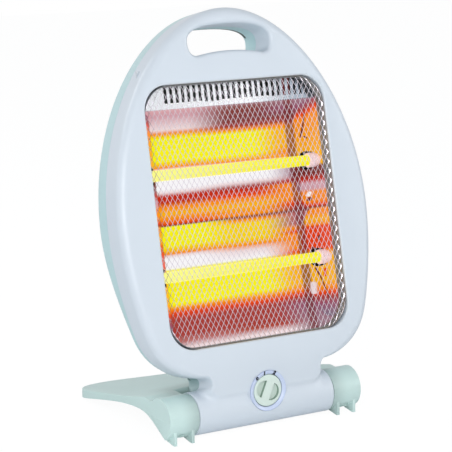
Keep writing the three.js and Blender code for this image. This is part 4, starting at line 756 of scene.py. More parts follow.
def lit_end_aluminium(name, element):
    """The end plates' aluminium: it mirrors the hot tubes' light, with painted shade in creases, painted
    highlights, and cold front hems.
    """
    material, tree = new_material(name)
    across, depth, height = body_place(tree)
    aside = add_node(tree, "Math", {0: across}, operation="ABSOLUTE")
    past = add_node(tree, "Math", {0: aside, 1: -element.plate_fold_half}, operation="ADD")
    past_fold = add_node(tree, "Math", {0: past, 1: 0.0}, operation="MAXIMUM")
    # High up, the bands fall off towards the front
    fall = add_node(tree, "MapRange", span(height, 240 * MM, 268 * MM, 0.0, -0.7), **SMOOTH)
    level = add_node(tree, "Math", {0: past_fold, 1: fall, 2: height}, operation="MULTIPLY_ADD")
    bands = height_ramp(tree, level, END_BANDS)
    # Painted dark reflection standing at the troughs' right ends
    dark, dark_band = linear(GLOW["maroon"]), shadow_line(tree, across, depth)
    bands = add_node(tree, "Mix", {"Factor": dark_band, "A": bands, "B": dark}, **COLOURS)
    place = add_node(tree, "CombineXYZ", {"X": across, "Z": height})
    # Painted shade in the creases, painted highlights and dark spots
    for start, end, width, tint in PLATE_MARKS:
        mark = near_line(tree, place, start, end, width)
        bands = add_node(tree, "Mix", {"Factor": mark, "A": bands, "B": linear(GLOW[tint])}, **COLOURS)
    edge = element.plate_front_half + 0.2 * MM
    hem = add_node(tree, "Math", {0: aside, 1: edge}, operation="GREATER_THAN")
    base = add_node(tree, "Mix", {"Factor": hem, "A": linear("1c1513"), "B": linear("9a9ea6")}, **COLOURS)
    # The hems keep only a faint painted glow
    light = add_node(tree, "Mix", {"Factor": hem, "A": bands, "B": (0.04, 0.03, 0.035, 1.0)}, **COLOURS)
    point = add_node(tree, "TexCoord").outputs["Object"]
    texture = add_node(tree, "TexNoise", {"Vector": point, "Scale": 1 / (12 * MM)})
    shader = add_node(tree, "BsdfPrincipled", {
        "Base Color": base, "Metallic": 1.0, "Roughness": 0.28,
        "Normal": add_node(tree, "Bump", {"Height": texture, "Distance": 0.4 * MM, "Strength": 0.5}),
        "Emission Color": light, "Emission Strength": 0.95,
    })
    add_node(tree, "OutputMaterial", {"Surface": shader})
    return material


def hot_quartz(name):
    """Fused quartz filled with the hot coil's light: pale yellow, stronger yellow towards the right end."""
    material, tree = new_material(name)
    across = body_place(tree)[0]
    share = add_node(tree, "MapRange", span(across, -120 * MM, 75 * MM), **SMOOTH)
    pale, strong = linear(GLOW["lemon"]), linear(GLOW["yellow"])
    shader = add_node(tree, "BsdfPrincipled", {
        "Base Color": linear("2c2814"), "Roughness": 0.15, "IOR": 1.46, "Transmission Weight": 0.1,
        "Emission Color": add_node(tree, "Mix", {"Factor": share, "A": pale, "B": strong}, **COLOURS),
        "Emission Strength": 0.97,
    })
    add_node(tree, "OutputMaterial", {"Surface": shader})
    return material


def hot_coil(name):
    """Oxidised resistance wire at red to yellow heat."""
    material, tree = new_material(name)
    point = add_node(tree, "TexCoord").outputs["Object"]
    texture = add_node(tree, "TexNoise", {"Vector": point, "Scale": 1 / (2 * MM)})
    pale, deep = linear(GLOW["lemon"]), linear(GLOW["amber"])
    shader = add_node(tree, "BsdfPrincipled", {
        "Base Color": linear("5b5048"), "Metallic": 1.0, "Roughness": 0.6,
        "Emission Color": add_node(tree, "Mix", {"Factor": texture, "A": pale, "B": deep}, **COLOURS),
        "Emission Strength": 1.0,
    })
    add_node(tree, "OutputMaterial", {"Surface": shader})
    return material


def behind_reflector(tree):
    """Painted shade: the rear shell's inner side, which the slots show as nearly black, and its dim walls in
    the notches.
    """
    across, depth, height = body_place(tree)
    deep = add_node(tree, "Math", {0: depth, 1: 15 * MM}, operation="GREATER_THAN")
    inside = add_node(tree, "Math", {0: deep, 1: faces_front(tree)}, operation="MULTIPLY")
    aside = add_node(tree, "Math", {0: across}, operation="ABSOLUTE")
    low = add_node(tree, "MapRange", span(height, 40 * MM, 34 * MM), **SMOOTH)
    near = add_node(tree, "MapRange", span(aside, 84 * MM, 74 * MM, 0.0, 0.3), **SMOOTH)
    notch = add_node(tree, "Math", {0: low, 1: near}, operation="MULTIPLY")
    return add_node(tree, "Math", {0: inside, 1: notch}, operation="MAXIMUM")


def behind_neck(tree):
    """The foot's plate close behind the neck, which the body keeps dim."""
    axis = joint_places["body_tilt"].y
    point = add_node(tree, "SeparateXYZ", {0: add_node(tree, "TexCoord").outputs["Object"]})
    aside = add_node(tree, "Math", {0: point.outputs["X"]}, operation="ABSOLUTE")
    close = span(point.outputs["Y"], axis + 72 * MM, axis + 34 * MM)
    close = add_node(tree, "MapRange", close, **SMOOTH)
    near = add_node(tree, "MapRange", span(aside, 96 * MM, 72 * MM, 0.0, 0.32), **SMOOTH)
    return add_node(tree, "Math", {0: close, 1: near}, operation="MULTIPLY")


def in_recesses(tree):
    """Painted shade on the knob's sides and its recesses' walls, between its face and the recesses' floors.
    """
    dial = bpy.context.scene.heater_dial
    out = dial_matrix().to_3x3() @ Vector((0, 0, 1))
    point = add_node(tree, "TexCoord").outputs["Object"]
    reach = add_node(tree, "VectorMath", {0: point, 1: out}, operation="DOT_PRODUCT")
    face = dial_matrix().translation.dot(out) + dial.knob_face
    level = add_node(tree, "Math", {0: reach, 1: -face}, operation="ADD")
    low = span(level, -dial.recess_depth - 0.1 * MM, -dial.recess_depth + 0.5 * MM)
    above = add_node(tree, "MapRange", low, **SMOOTH)
    high = span(level, -0.3 * MM, -1.0 * MM, 0.0, 0.68)
    below = add_node(tree, "MapRange", high, **SMOOTH)
    return add_node(tree, "Math", {0: above, 1: below}, operation="MULTIPLY")


MATERIALS = {}


def make_materials(context):
    finishes, element = sizes(context, "finishes"), sizes(context, "element")
    window, body = sizes(context, "window"), sizes(context, "body")
    fine_grain = 0.7 * MM
    MATERIALS.update({
        # Glossy white ABS with a cold cast: a broad soft shine and pale blue shadows
        "front": moulded_plastic("white_moulded_abs", finishes.front, 0.34),
        # The same plastic in mint: reads green in the shade and nearly white in the light
        "rear": moulded_plastic("mint_moulded_abs", finishes.rear, 0.36, shadows=behind_reflector),
        "foot": moulded_plastic("mint_moulded_foot_abs", finishes.foot, 0.38, shadows=behind_neck),
        # The knob's recess walls get painted shade in a deeper green
        "knob": moulded_plastic("pale_mint_knob_abs", finishes.knob, 0.32, fine_grain, in_recesses, "35664c"),
        "dial": moulded_plastic("lavender_dial_abs", finishes.dial, 0.3, fine_grain),
        # Pad-printed ink: dark, dull, a little uneven
        "ink": matt_solid("dark_blue_printed_ink", finishes.figures, 0.6, 0.4 * MM, 0.2),
        "guard": mesh_steel("chrome_plated_mesh_steel", window, body),
        # A grey satin steel band behind the mesh along the tray's side; its grey is partly steel and partly
        # painted shade
        "guard_wall": matt_solid("grey_steel_band_with_painted_shade", linear("9fa1a6"), 0.5, 0.8 * MM, 0.3),
        "reflector": lit_aluminium("polished_aluminium_in_heater_light", element),
        "end_plate": lit_end_aluminium("creased_aluminium_in_heater_light", element),
        "quartz": hot_quartz("glowing_fused_quartz"),
        "coil": hot_coil("glowing_resistance_wire"),
        # Unglazed steatite: chalky white, pinkish in the tubes' light
        "ceramic": matt_solid("unglazed_steatite", linear("ecd0d2"), 0.6, 1.5 * MM, 0.08, 0.38),
        # Zinc plating clouds in patches of a millimetre or so
        "zinc": sheet_metal("zinc_plated_steel", linear("b9bcc0"), 0.38, 1.2 * MM, 0.25),
        "brass": sheet_metal("stamped_brass", linear("c8a75b"), 0.35, 1.2 * MM, 0.2),
    })
    # Rubber, pressed fibre, nylon and silicone: plain, dull and slightly blotched
    for key, name, code, roughness in (
        ("rubber", "black_moulded_rubber", "2a2b2d", 0.8), ("fibre", "vulcanised_fibre", "8a3b2c", 0.75),
        ("nylon", "natural_moulded_nylon", "e4e0d2", 0.5),
        ("dark_nylon", "dark_moulded_nylon", "34373b", 0.5),
        ("blue_sleeve", "blue_silicone_sleeve", "3f66a8", 0.55),
        ("brown_sleeve", "brown_silicone_sleeve", "7a4b32", 0.55),
    ):
        MATERIALS[key] = matt_solid(name, linear(code), roughness)


# Outlines and depths of the body

def body_outline(body, hip_inset):
    """The body seen from the front, and how far each of its points takes part in the edge rounding."""
    hip = (body.hip_half - hip_inset, body.hip_height)
    waist = (body.waist_half, body.waist_height)
    slope = body.hip_draw / body.hip_lead
    notch_radius = (body.shoulder - body.barrel_radius) / 2
    notch = (body.neck_half + notch_radius, body.barrel_radius + notch_radius)
    crown = bezier(
        (0, body.top), (body.crown_reach, body.top), (waist[0], waist[1] + body.crown_rise), waist, 56,
    )
    flank = bezier(
        waist, (waist[0], waist[1] - body.flank_lead),
        (hip[0] + body.hip_draw, hip[1] + body.hip_lead), hip, 16,
    )
    under = bezier(
        hip, (hip[0] - slope * body.hip_lead, hip[1] - body.hip_lead),
        (notch[0] + body.under_lead - hip_inset, body.shoulder + body.under_rise + hip_inset / 2),
        (notch[0], body.shoulder), 26,
    )
    steps = 16
    turn = arc(notch, notch_radius, QUARTER, 3 * QUARTER, steps)
    end = body.barrel_half
    barrel = [(notch[0] + (end - notch[0]) / 2, body.barrel_radius)]
    barrel += [(end, body.barrel_radius), (end, -body.barrel_radius)]
    half = crown + flank[1:] + under[1:] + turn[1:] + barrel
    # The rounding narrows over the last points under the hip, and is small round the notch and the barrel
    small, narrow, narrowing = 0.11, 0.35, 12
    weights = [1.0] * (len(crown) + len(flank) + len(under) - 2 - narrowing)
    weights += [1 - (1 - narrow) * smooth_step(0, 1, k / narrowing) for k in range(1, narrowing + 1)]
    weights += [narrow - (narrow - small) * smooth_step(0, 0.35, k / steps) for k in range(1, steps + 1)]
    weights += [small] * len(barrel)
    both = mirrored(half)
    extra = [w for (x, _), w in zip(reversed(half), reversed(weights)) if x > 1e-9]
    return both, weights + extra


def front_profile(body):
    depth, radius = body.front_depth, body.barrel_radius
    return bezier((radius, 0), (radius, 0.020), (depth, body.neck_top - 0.020), (depth, body.neck_top), 24)


def rear_profile(body):
    return [(body.barrel_radius, 0), (body.barrel_radius, 0.010), (body.rear_depth, body.neck_top)]


def depth_at(body, profile, x, z):
    """How far the outer face lies from the parting plane."""
    radius = body.barrel_radius
    around = math.sqrt(max(radius * radius - z * z, 0.0))
    if z <= 0:
        return around
    neck = along(profile, z, axis=1)
    if z >= body.shoulder:
        return neck
    # Low on the barrel the neck runs out in a long sweep, and at its top it ends at the notch
    longest, spread, clear = 24 * MM, 7 * MM, 6 * MM
    sweep = longest * (1 - smooth_step(4 * MM, radius, z))
    out = smooth_step(body.neck_half - MM - sweep, body.neck_half + spread, abs(x))
    out *= 1 - smooth_step(radius, body.shoulder - clear, z)
    return neck + (around - neck) * out


def body_block(body, side, hip_inset, thin, reach):
    """One half of the body as a solid, its face following the neck and the barrel; thin is the wall's share.

    side is -1 for the front half; reach is how far the hollow runs on past the parting plane.
    """
    outline, weights = body_outline(body, hip_inset)
    flat = body.front_depth if side < 0 else body.rear_depth
    profile = front_profile(body) if side < 0 else rear_profile(body)
    radius = body.edge_round - thin
    steps = 9 if thin == 0 else 4
    rings = [(inset(outline, thin), -reach), (inset(outline, thin), 0.0)]
    for k in range(steps + 1):
        a = QUARTER * k / steps
        spread = [thin + w * radius * (1 - math.cos(a)) for w in weights]
        rings.append((inset(outline, spread), 1 - radius * (1 - math.sin(a)) / (flat - thin)))
    bm = loft([[(x, share, z) for x, z in points] for points, share in rings])
    around = [body.barrel_radius * math.sin(math.radians(a)) for a in range(-86, 90, 4)]
    above = [body.barrel_radius + 1.4 * MM * k for k in range(1, 20)]
    cut_planes(bm, 2, around + above)
    cut_planes(bm, 0, [s * (body.neck_half + 1.6 * MM * k) for s in (-1, 1) for k in range(-5, 7)])
    for vert in bm.verts:
        x, share, z = vert.co
        face = max(depth_at(body, profile, x, z) - thin, 0.0)
        if share < 0:
            vert.co.y = -side * OVERRUN
        else:
            vert.co.y = side * (body.seam / 2 * (thin == 0) + share * (face - body.seam / 2 * (thin == 0)))
        if thin == 0 and face < body.seam:
            vert.co.y = side * body.seam / 2
    return bm


def window_outline(window, let_out, corner=None):
    radius = (corner or window.corner) + let_out
    half = window.half_width + let_out
    return rounded_rectangle(-half, half, window.bottom - let_out, window.top + let_out, radius)


def handle_outline(handle, let_out):
    half = bezier(
        (0, handle.top), (handle.top_lead, handle.top),
        (handle.half_width, handle.shoulder + handle.shoulder_lead), (handle.half_width, handle.shoulder), 22,
    )
    half += bezier(
        (handle.half_width, handle.shoulder), (handle.half_width, handle.shoulder - handle.corner_rise),
        (handle.bottom_half + handle.corner_lead, handle.bottom), (handle.bottom_half, handle.bottom), 14,
    )[1:]
    arch = handle.bottom + handle.bottom_arch * 2 / 3
    side = handle.bottom_half / 3
    right, left = (handle.bottom_half, handle.bottom), (-handle.bottom_half, handle.bottom)
    half += bezier(right, (side, arch), (-side, arch), left, 20)[1:11]
    return inset(mirrored(half), -let_out)


def lipped_rings(outline_at, lip, face, end, inwards):
    """Rings of a hole's cutter whose mouth at a face is rounded over; the hole runs on to its end."""
    rings = [(outline_at(lip), face - inwards * OVERRUN)]
    for k in range(7):
        a = QUARTER * k / 6
        rings.append((outline_at(lip * (1 - math.sin(a))), face + inwards * lip * (1 - math.cos(a))))
    rings.append((outline_at(0), end))
    return [[(x, y, z) for x, z in points] for points, y in rings]


def handle_cutter(body, handle, side):
    face = side * (body.front_depth if side < 0 else body.rear_depth)
    rings = lipped_rings(lambda out: handle_outline(handle, out), handle.lip, face, side * -OVERRUN, -side)
    return loft(rings)


def handle_wall(body, handle, side):
    face = side * (body.front_depth if side < 0 else body.rear_depth)
    rings = []
    for k in range(3, 7):
        a = QUARTER * k / 6
        out = handle.lip * (1 - math.sin(a)) + body.wall
        rings.append((handle_outline(handle, out), face - side * handle.lip * (1 - math.cos(a))))
    rings.append((handle_outline(handle, body.wall), side * body.seam / 2))
    return loft([[(x, y, z) for x, z in points] for points, y in rings])


def cylinder(radius, start, end, sides=64):
    return turned([(0, start), (radius, start), (radius, end), (0, end)], sides)


class HEATER_OT_front_shell(bpy.types.Operator):
    """Mould the white front shell with its window, carrying hole and dial seat"""

    bl_idname = "heater.front_shell"
    bl_label = "Front Shell"

    def execute(self, context):
        body, window = sizes(context, "body"), sizes(context, "window")
        handle, dial = sizes(context, "handle"), sizes(context, "dial")
        matrix = body_matrix()
        shell = thing("front_shell_moulding", body_block(body, -1, 0.0, 0.0, 0.0), matrix)
        hollow = thing("hollow", body_block(body, -1, 0.0, body.wall, 1.0), matrix)
        combine(shell, "DIFFERENCE", [hollow])
        face = -body.front_depth
        rim = prism(window_outline(window, window.rim_wall), face + body.wall / 2, face + window.rim_depth)
        cup_wall, cup_floor = 2.3 * MM, 2.4 * MM
        cup = cylinder(dial.ring_radius + cup_wall, -dial.well_depth - cup_floor, -dial.ring_seat / 2)
        seat = cylinder(dial.ring_radius + PLAY, -dial.ring_seat, 3 * OVERRUN, 96)
        well = cylinder(dial.knob_radius + 2 * PLAY, -dial.well_depth, OVERRUN, 96)
        walls = [
            thing("rim", rim, matrix),
            thing("handle_wall", handle_wall(body, handle, -1), matrix),
            thing("cup", cup, dial_matrix()),
        ]
        combine(shell, "UNION", walls)
        opening = lipped_rings(lambda out: window_outline(window, out), window.lip, face, 0.0, 1)
        cutters = [
            thing("window", loft(opening), matrix),
            thing("handle", handle_cutter(body, handle, -1), matrix),
            thing("seat", seat, dial_matrix()),
            thing("well", well, dial_matrix()),
        ]
        combine(shell, "DIFFERENCE", cutters)
        finish_piece(shell, "heater_body", MATERIALS["front"], ["front_shell"])
        return {"FINISHED"}


# Places on the body as (across, height), and the fixed sizes of small features, in metres
SHELL_SCREWS = [(0.062, 0.331), (0.115, 0.178), (0.054, -0.007)]
SCREW_SEAT = 0.008
SCREW_WELL = 3.6 * MM
SCREW_BOSS = 5.6 * MM
GLAND = {"x": -0.030, "z": 0.050, "radius": 0.006, "bore": 0.0043, "collar": 0.008}
VENT = {
    "column": 0.038, "half": 0.030, "half_height": 0.0022, "pitch": 0.009, "rows": 4,
    "starts": (0.266, 0.076),
}


class HEATER_OT_rear_shell(bpy.types.Operator):
    """Mould the mint rear shell with its vents, screw wells and cord inlet"""

    bl_idname = "heater.rear_shell"
    bl_label = "Rear Shell"

    def execute(self, context):
        body, handle = sizes(context, "body"), sizes(context, "handle")
        matrix = body_matrix()
        hip_inset = body.rear_hip_inset
        shell = thing("rear_shell_moulding", body_block(body, 1, hip_inset, 0.0, 0.0), matrix)
        hollow = thing("hollow", body_block(body, 1, hip_inset, body.wall, 1.0), matrix)
        combine(shell, "DIFFERENCE", [hollow])
        walls = [thing("handle_wall", handle_wall(body, handle, 1), matrix)]
        cutters = [thing("handle", handle_cutter(body, handle, 1), matrix)]
        lay = Matrix.Rotation(-QUARTER, 4, "X")
        for x, z in SHELL_SCREWS:
            for side in (-1, 1):
                place = matrix @ Matrix.Translation((side * x, 0, z)) @ lay
                end = body.rear_depth if z > 0 else math.sqrt(body.barrel_radius ** 2 - z * z)
                boss = cylinder(SCREW_BOSS, body.seam, end - body.wall / 2, 48)
                well = cylinder(SCREW_WELL, SCREW_SEAT, body.rear_depth + OVERRUN, 48)
                walls.append(thing("boss", boss, place))
                cutters.append(thing("well", well, place))
        combine(shell, "UNION", walls)
        slots = []
        wide, half = VENT["half"], VENT["half_height"]
        front, rear = body.rear_depth - body.wall - OVERRUN, body.rear_depth + OVERRUN
        for side in (-1, 1):
            x = side * VENT["column"]
            for start in VENT["starts"]:
                for row in range(VENT["rows"]):
                    z = start + row * VENT["pitch"]
                    outline = rounded_rectangle(x - wide, x + wide, z - half, z + half, half * 0.98, 8)
                    slots.append(prism(outline, front, rear))
        cutters.append(thing("vents", join_meshes("vents", slots), matrix))
        inlet = cylinder(GLAND["radius"] + PLAY, 0, body.rear_depth + OVERRUN, 64)
        cutters.append(thing("inlet", inlet, matrix @ Matrix.Translation((GLAND["x"], 0, GLAND["z"])) @ lay))
        combine(shell, "DIFFERENCE", cutters)
        finish_piece(shell, "heater_body", MATERIALS["rear"], ["rear_shell"])
        return {"FINISHED"}


def tray_place(window, face, x, z):
    """Bend a point of the flat guard back over the tray's edge; also how far past the edge it lies."""
    corner, bend = window.guard_corner, window.guard_bend
    half = window.half_width - PLAY - bend
    middle = (window.top + window.bottom) / 2
    half_height = (window.top - window.bottom) / 2 - PLAY - bend
    inner = corner - bend
    dx, dz = abs(x) - (half - inner), abs(z - middle) - (half_height - inner)
    if dx > 0 and dz > 0:
        reach = math.hypot(dx, dz)
        past = reach - inner
        direction = Vector((math.copysign(dx, x), math.copysign(dz, z - middle))) / reach
    elif dx - inner > dz - inner:
        past = dx - inner
        direction = Vector((math.copysign(1, x), 0))
    else:
        past = dz - inner
        direction = Vector((0, math.copysign(1, z - middle)))
    if past <= 0:
        return (x, face, z), past
    quarter = bend * QUARTER
    if past < quarter:
        out, back = bend * math.sin(past / bend), bend * (1 - math.cos(past / bend))
    else:
        out, back = bend, bend + past - quarter
    flat = Vector((x, z)) + direction * (out - past)
    return (flat.x, face + back, flat.y), past


class HEATER_OT_guard(bpy.types.Operator):
    """Press the fine diamond guard into its tray and give it its flange"""

    bl_idname = "heater.guard"
    bl_label = "Guard"

    def execute(self, context):
        body, window = sizes(context, "body"), sizes(context, "window")
        face = window.guard_setback - body.front_depth
        wall = window.rim_depth - window.guard_setback
        half_w, half_h = window.cell_width / 2, window.cell_height / 2
        middle = (window.top + window.bottom) / 2
        columns = math.ceil((window.half_width + wall) / half_w)
        rows = math.ceil(((window.top - window.bottom) / 2 + wall) / half_h)
        limit = wall + window.guard_bend * (QUARTER - 1)
        bm = bmesh.new()
        verts = {}

        def corner(i, k):
            if (i, k) not in verts:
                place, past = tray_place(window, face, i * half_w, middle + k * half_h)
                verts[i, k] = (bm.verts.new(place), past)
            return verts[i, k]

        for i in range(-columns, columns + 1):
            for k in range(-rows, rows + 1):
                if (i + k) % 2:
                    continue
                corners = [corner(i - 1, k), corner(i, k - 1), corner(i + 1, k), corner(i, k + 1)]
                if max(past for _, past in corners) < limit:
                    bm.faces.new([vert for vert, _ in corners])
        bmesh.ops.delete(bm, geom=[v for v in bm.verts if not v.link_faces], context="VERTS")
        guard = thing("diamond_guard", bm)
        weave = guard.modifiers.new("strands", "WIREFRAME")
        weave.thickness = window.strand
        weave.use_even_offset = False
        weave.use_boundary = True
        bake_modifiers(guard)
        strands = bmesh.new()
        strands.from_mesh(guard.data)
        back = window.rim_depth - body.front_depth + PLAY
        inner, lap, sheet = -PLAY, 2.4 * MM, MM
        section = (
            (inner, back), (window.guard_flange, back), (window.guard_flange, back + sheet),
            (inner - sheet, back + sheet), (inner - sheet, back - lap), (inner, back - lap), (inner, back),
        )
        whole = join_meshes("guard", [strands, self.surround(window, section)])
        whole.transform(body_matrix())
        bmesh.ops.remove_doubles(whole, verts=whole.verts[:], dist=1e-6)
        bmesh.ops.recalc_face_normals(whole, faces=whole.faces[:])
        whole.to_mesh(guard.data)
        whole.free()
        crisp = math.radians(50)
        finish_piece(guard, "heater_body", MATERIALS["guard"], ["guard_grille"], crisp)
        # A grey band behind the side strands: partly steel, partly painted shade along the tray's side
        edge, half = face + PLAY, 0.1 * MM
        section = ((-half, edge), (half, edge), (half, back), (-half, back), (-half, edge))
        backing = thing("tray_side_shade_band", self.surround(window, section), body_matrix())
        finish_piece(backing, "heater_body", MATERIALS["guard_wall"])
        return {"FINISHED"}

    @staticmethod
    def surround(window, section):
        """A closed band round the guard, its section drawn as (distance out from the window, depth)."""
        corner = window.guard_corner + PLAY
        rings = []
        for out, y in section:
            rings.append([(x, y, z) for x, z in window_outline(window, out, corner)])
        return loft(rings, closed_ends=False)


def trough_line(element):
    """The reflector's section from the strip down over both troughs to the lip, as (depth, height)."""
    front, ridge = element.strip_depth, element.ridge_depth
    top, seam = (front, element.strip_bottom), (ridge, element.ridge_height)
    bottom = (front, element.trough_bottom)
    near, far, lead = element.bulge - 2 * ridge, element.bulge, element.ridge_lead
    upper = bezier(top, (far, top[1] - element.outer_lead), (near, seam[1] + lead), seam, 36)
    lower = bezier(seam, (near, seam[1] - lead), (far, bottom[1] + element.outer_lead), bottom, 36)
    return upper + lower[1:] + [(front, element.lip_bottom)]


def sheet_grid(rows):
    """A sheet through rows of points."""
    bm = bmesh.new()
    verts = [[bm.verts.new(p) for p in row] for row in rows]
    for a, b in zip(verts, verts[1:]):
        for i in range(len(a) - 1):
            bm.faces.new((a[i], a[i + 1], b[i + 1], b[i]))
    return bm


def thicken(piece, thickness):
    step = piece.modifiers.new("sheet", "SOLIDIFY")
    step.thickness = thickness
    step.offset = 0.0
    bake_modifiers(piece)


class HEATER_OT_reflector(bpy.types.Operator):
    """Fold the reflector: slotted strip, two troughs and lip"""

    bl_idname = "heater.reflector"
    bl_label = "Reflector"

    def execute(self, context):
        element = sizes(context, "element")
        clear = 0.7 * MM
        columns = 24
        wide = element.plate_front_half - clear
        plates = [
            (element.plate_front_depth, element.plate_front_half),
            (element.plate_fold_depth, element.plate_fold_half),
            (element.plate_rear_depth, element.plate_rear_half),
        ]
        rows = []
        for depth, height in trough_line(element):
            half = along(plates, depth) - clear
            rows.append([(half * (2 * i / columns - 1), depth, height) for i in range(columns + 1)])
        bm = sheet_grid(rows)
        first = element.slot_shift - (element.slot_count - 1) * element.slot_pitch / 2
        marks = [-wide]
        for i in range(element.slot_count):
            middle = first + i * element.slot_pitch
            marks += [middle - element.slot_width / 2, middle + element.slot_width / 2]
        marks.append(wide)
        heights = [element.strip_bottom, element.slot_bottom, element.slot_top, element.strip_top]
        strip = [[bm.verts.new((x, element.strip_depth, z)) for x in marks] for z in heights]
        for level, (a, b) in enumerate(zip(strip, strip[1:])):
            for i in range(len(marks) - 1):
                if level == 1 and i % 2:
                    continue
                bm.faces.new((a[i], a[i + 1], b[i + 1], b[i]))
        reflector = thing("slotted_reflector", bm, body_matrix())
        thicken(reflector, element.sheet)
        finish_piece(reflector, "heater_body", MATERIALS["reflector"], ["reflector"])
        return {"FINISHED"}


class HEATER_OT_end_plates(bpy.types.Operator):
    """Fold the two slanted end plates with their holes and front hems"""

    bl_idname = "heater.end_plates"
    bl_label = "End Plates"

    def execute(self, context):
        body, window, element = sizes(context, "body"), sizes(context, "window"), sizes(context, "element")
        front = window.rim_depth - body.front_depth + 1.7 * MM
        bottom = element.trough_bottom - element.outer_lead
        line = [
            (element.plate_rear_half, element.plate_rear_depth),
            (element.plate_fold_half, element.plate_fold_depth),
            (element.plate_front_half, element.plate_front_depth),
            (element.plate_front_half, front),
            (element.plate_hem, front),
        ]
        steps, hole_place, hole_reach = 40, 0.09, 0.02
        for side, name in ((-1, "left"), (1, "right")):
            rows = []
            for step in range(steps + 1):
                z = bottom + (element.plate_top - bottom) * step / steps
                rows.append([(side * x, y, z) for x, y in line])
            plate = thing(name + "_end_reflector", sheet_grid(rows), body_matrix())
            thicken(plate, element.sheet)
            lay = Matrix.Rotation(QUARTER, 4, "Y")
            holes = []
            for z in (element.upper, element.lower):
                place = body_matrix() @ Matrix.Translation((side * hole_place, element.tube_depth, z)) @ lay
                holes.append(thing("hole", cylinder(element.plate_hole, -hole_reach, hole_reach, 48), place))
            combine(plate, "DIFFERENCE", holes)
            node = name + "_end_plate"
            finish_piece(plate, "heater_body", MATERIALS["end_plate"], [node])
        return {"FINISHED"}


class HEATER_OT_tubes(bpy.types.Operator):
    """Make the two glowing quartz tubes, their coils and their ceramic caps"""

    bl_idname = "heater.tubes"
    bl_label = "Quartz Tubes"

    def execute(self, context):
        element = sizes(context, "element")
        lay = Matrix.Rotation(QUARTER, 4, "Y")
        for level, height in (("upper", element.upper), ("lower", element.lower)):
            place = body_matrix() @ Matrix.Translation((element.tube_shift, element.tube_depth, height)) @ lay
            half, radius, bore = element.tube_half, element.tube_radius, element.tube_bore
            profile = [(bore, -half), (radius, -half), (radius, half), (bore, half)]
            tube = thing(level + "_glowing_tube", turned(profile, 48), place)
            finish_piece(tube, "heater_body", MATERIALS["quartz"], [level + "_quartz_tube"])
            coil = thing(level + "_wound_coil", self.coil(element), place)
            node = level + "_heating_coil"
            finish_piece(coil, "heater_body", MATERIALS["coil"], [node], HALF_TURN)
            for side, name in ((-1, "left"), (1, "right")):
                end = place @ Matrix.Scale(side, 4, (0, 0, 1))
                cap = thing(f"{level}_{name}_steatite_cap", self.cap(element), end)
                node = f"{level}_{name}_ceramic"
                finish_piece(cap, "heater_body", MATERIALS["ceramic"], [node])
        return {"FINISHED"}

    @staticmethod
    def coil(element):
        steps, sides = element.coil_turns * 12, 5
        rings = []
        for i in range(steps + 1):
            turn = 2 * HALF_TURN * element.coil_turns * i / steps
            out = Vector((math.cos(turn), math.sin(turn), 0))
            centre = out * element.coil_radius + Vector((0, 0, element.coil_half * (2 * i / steps - 1)))
            ring = []
            for k in range(sides):
                a = 2 * HALF_TURN * k / sides
                ring.append(centre + element.coil_wire * (out * math.cos(a) + Vector((0, 0, math.sin(a)))))
            rings.append(ring)
        return loft(rings)

    @staticmethod
    def cap(element):
        bead, bore = 0.8 * MM, 2.1 * MM
        socket = element.tube_radius + PLAY
        socket_end = element.nose_start + 5.4 * MM
        profile = [(socket, element.nose_start), (element.nose_radius - bead, element.nose_start)]
        profile += arc((element.nose_radius - bead, element.nose_start + bead), bead, -QUARTER, 0, 5)[1:]
        profile += [
            (element.nose_radius, element.nose_end - bead), (element.nose_radius - bead, element.nose_end),
            (element.neck_radius, element.nose_end), (element.neck_radius, element.cap_end),
            (bore, element.cap_end), (bore, socket_end), (socket, socket_end),
        ]
        return turned(profile, 48)


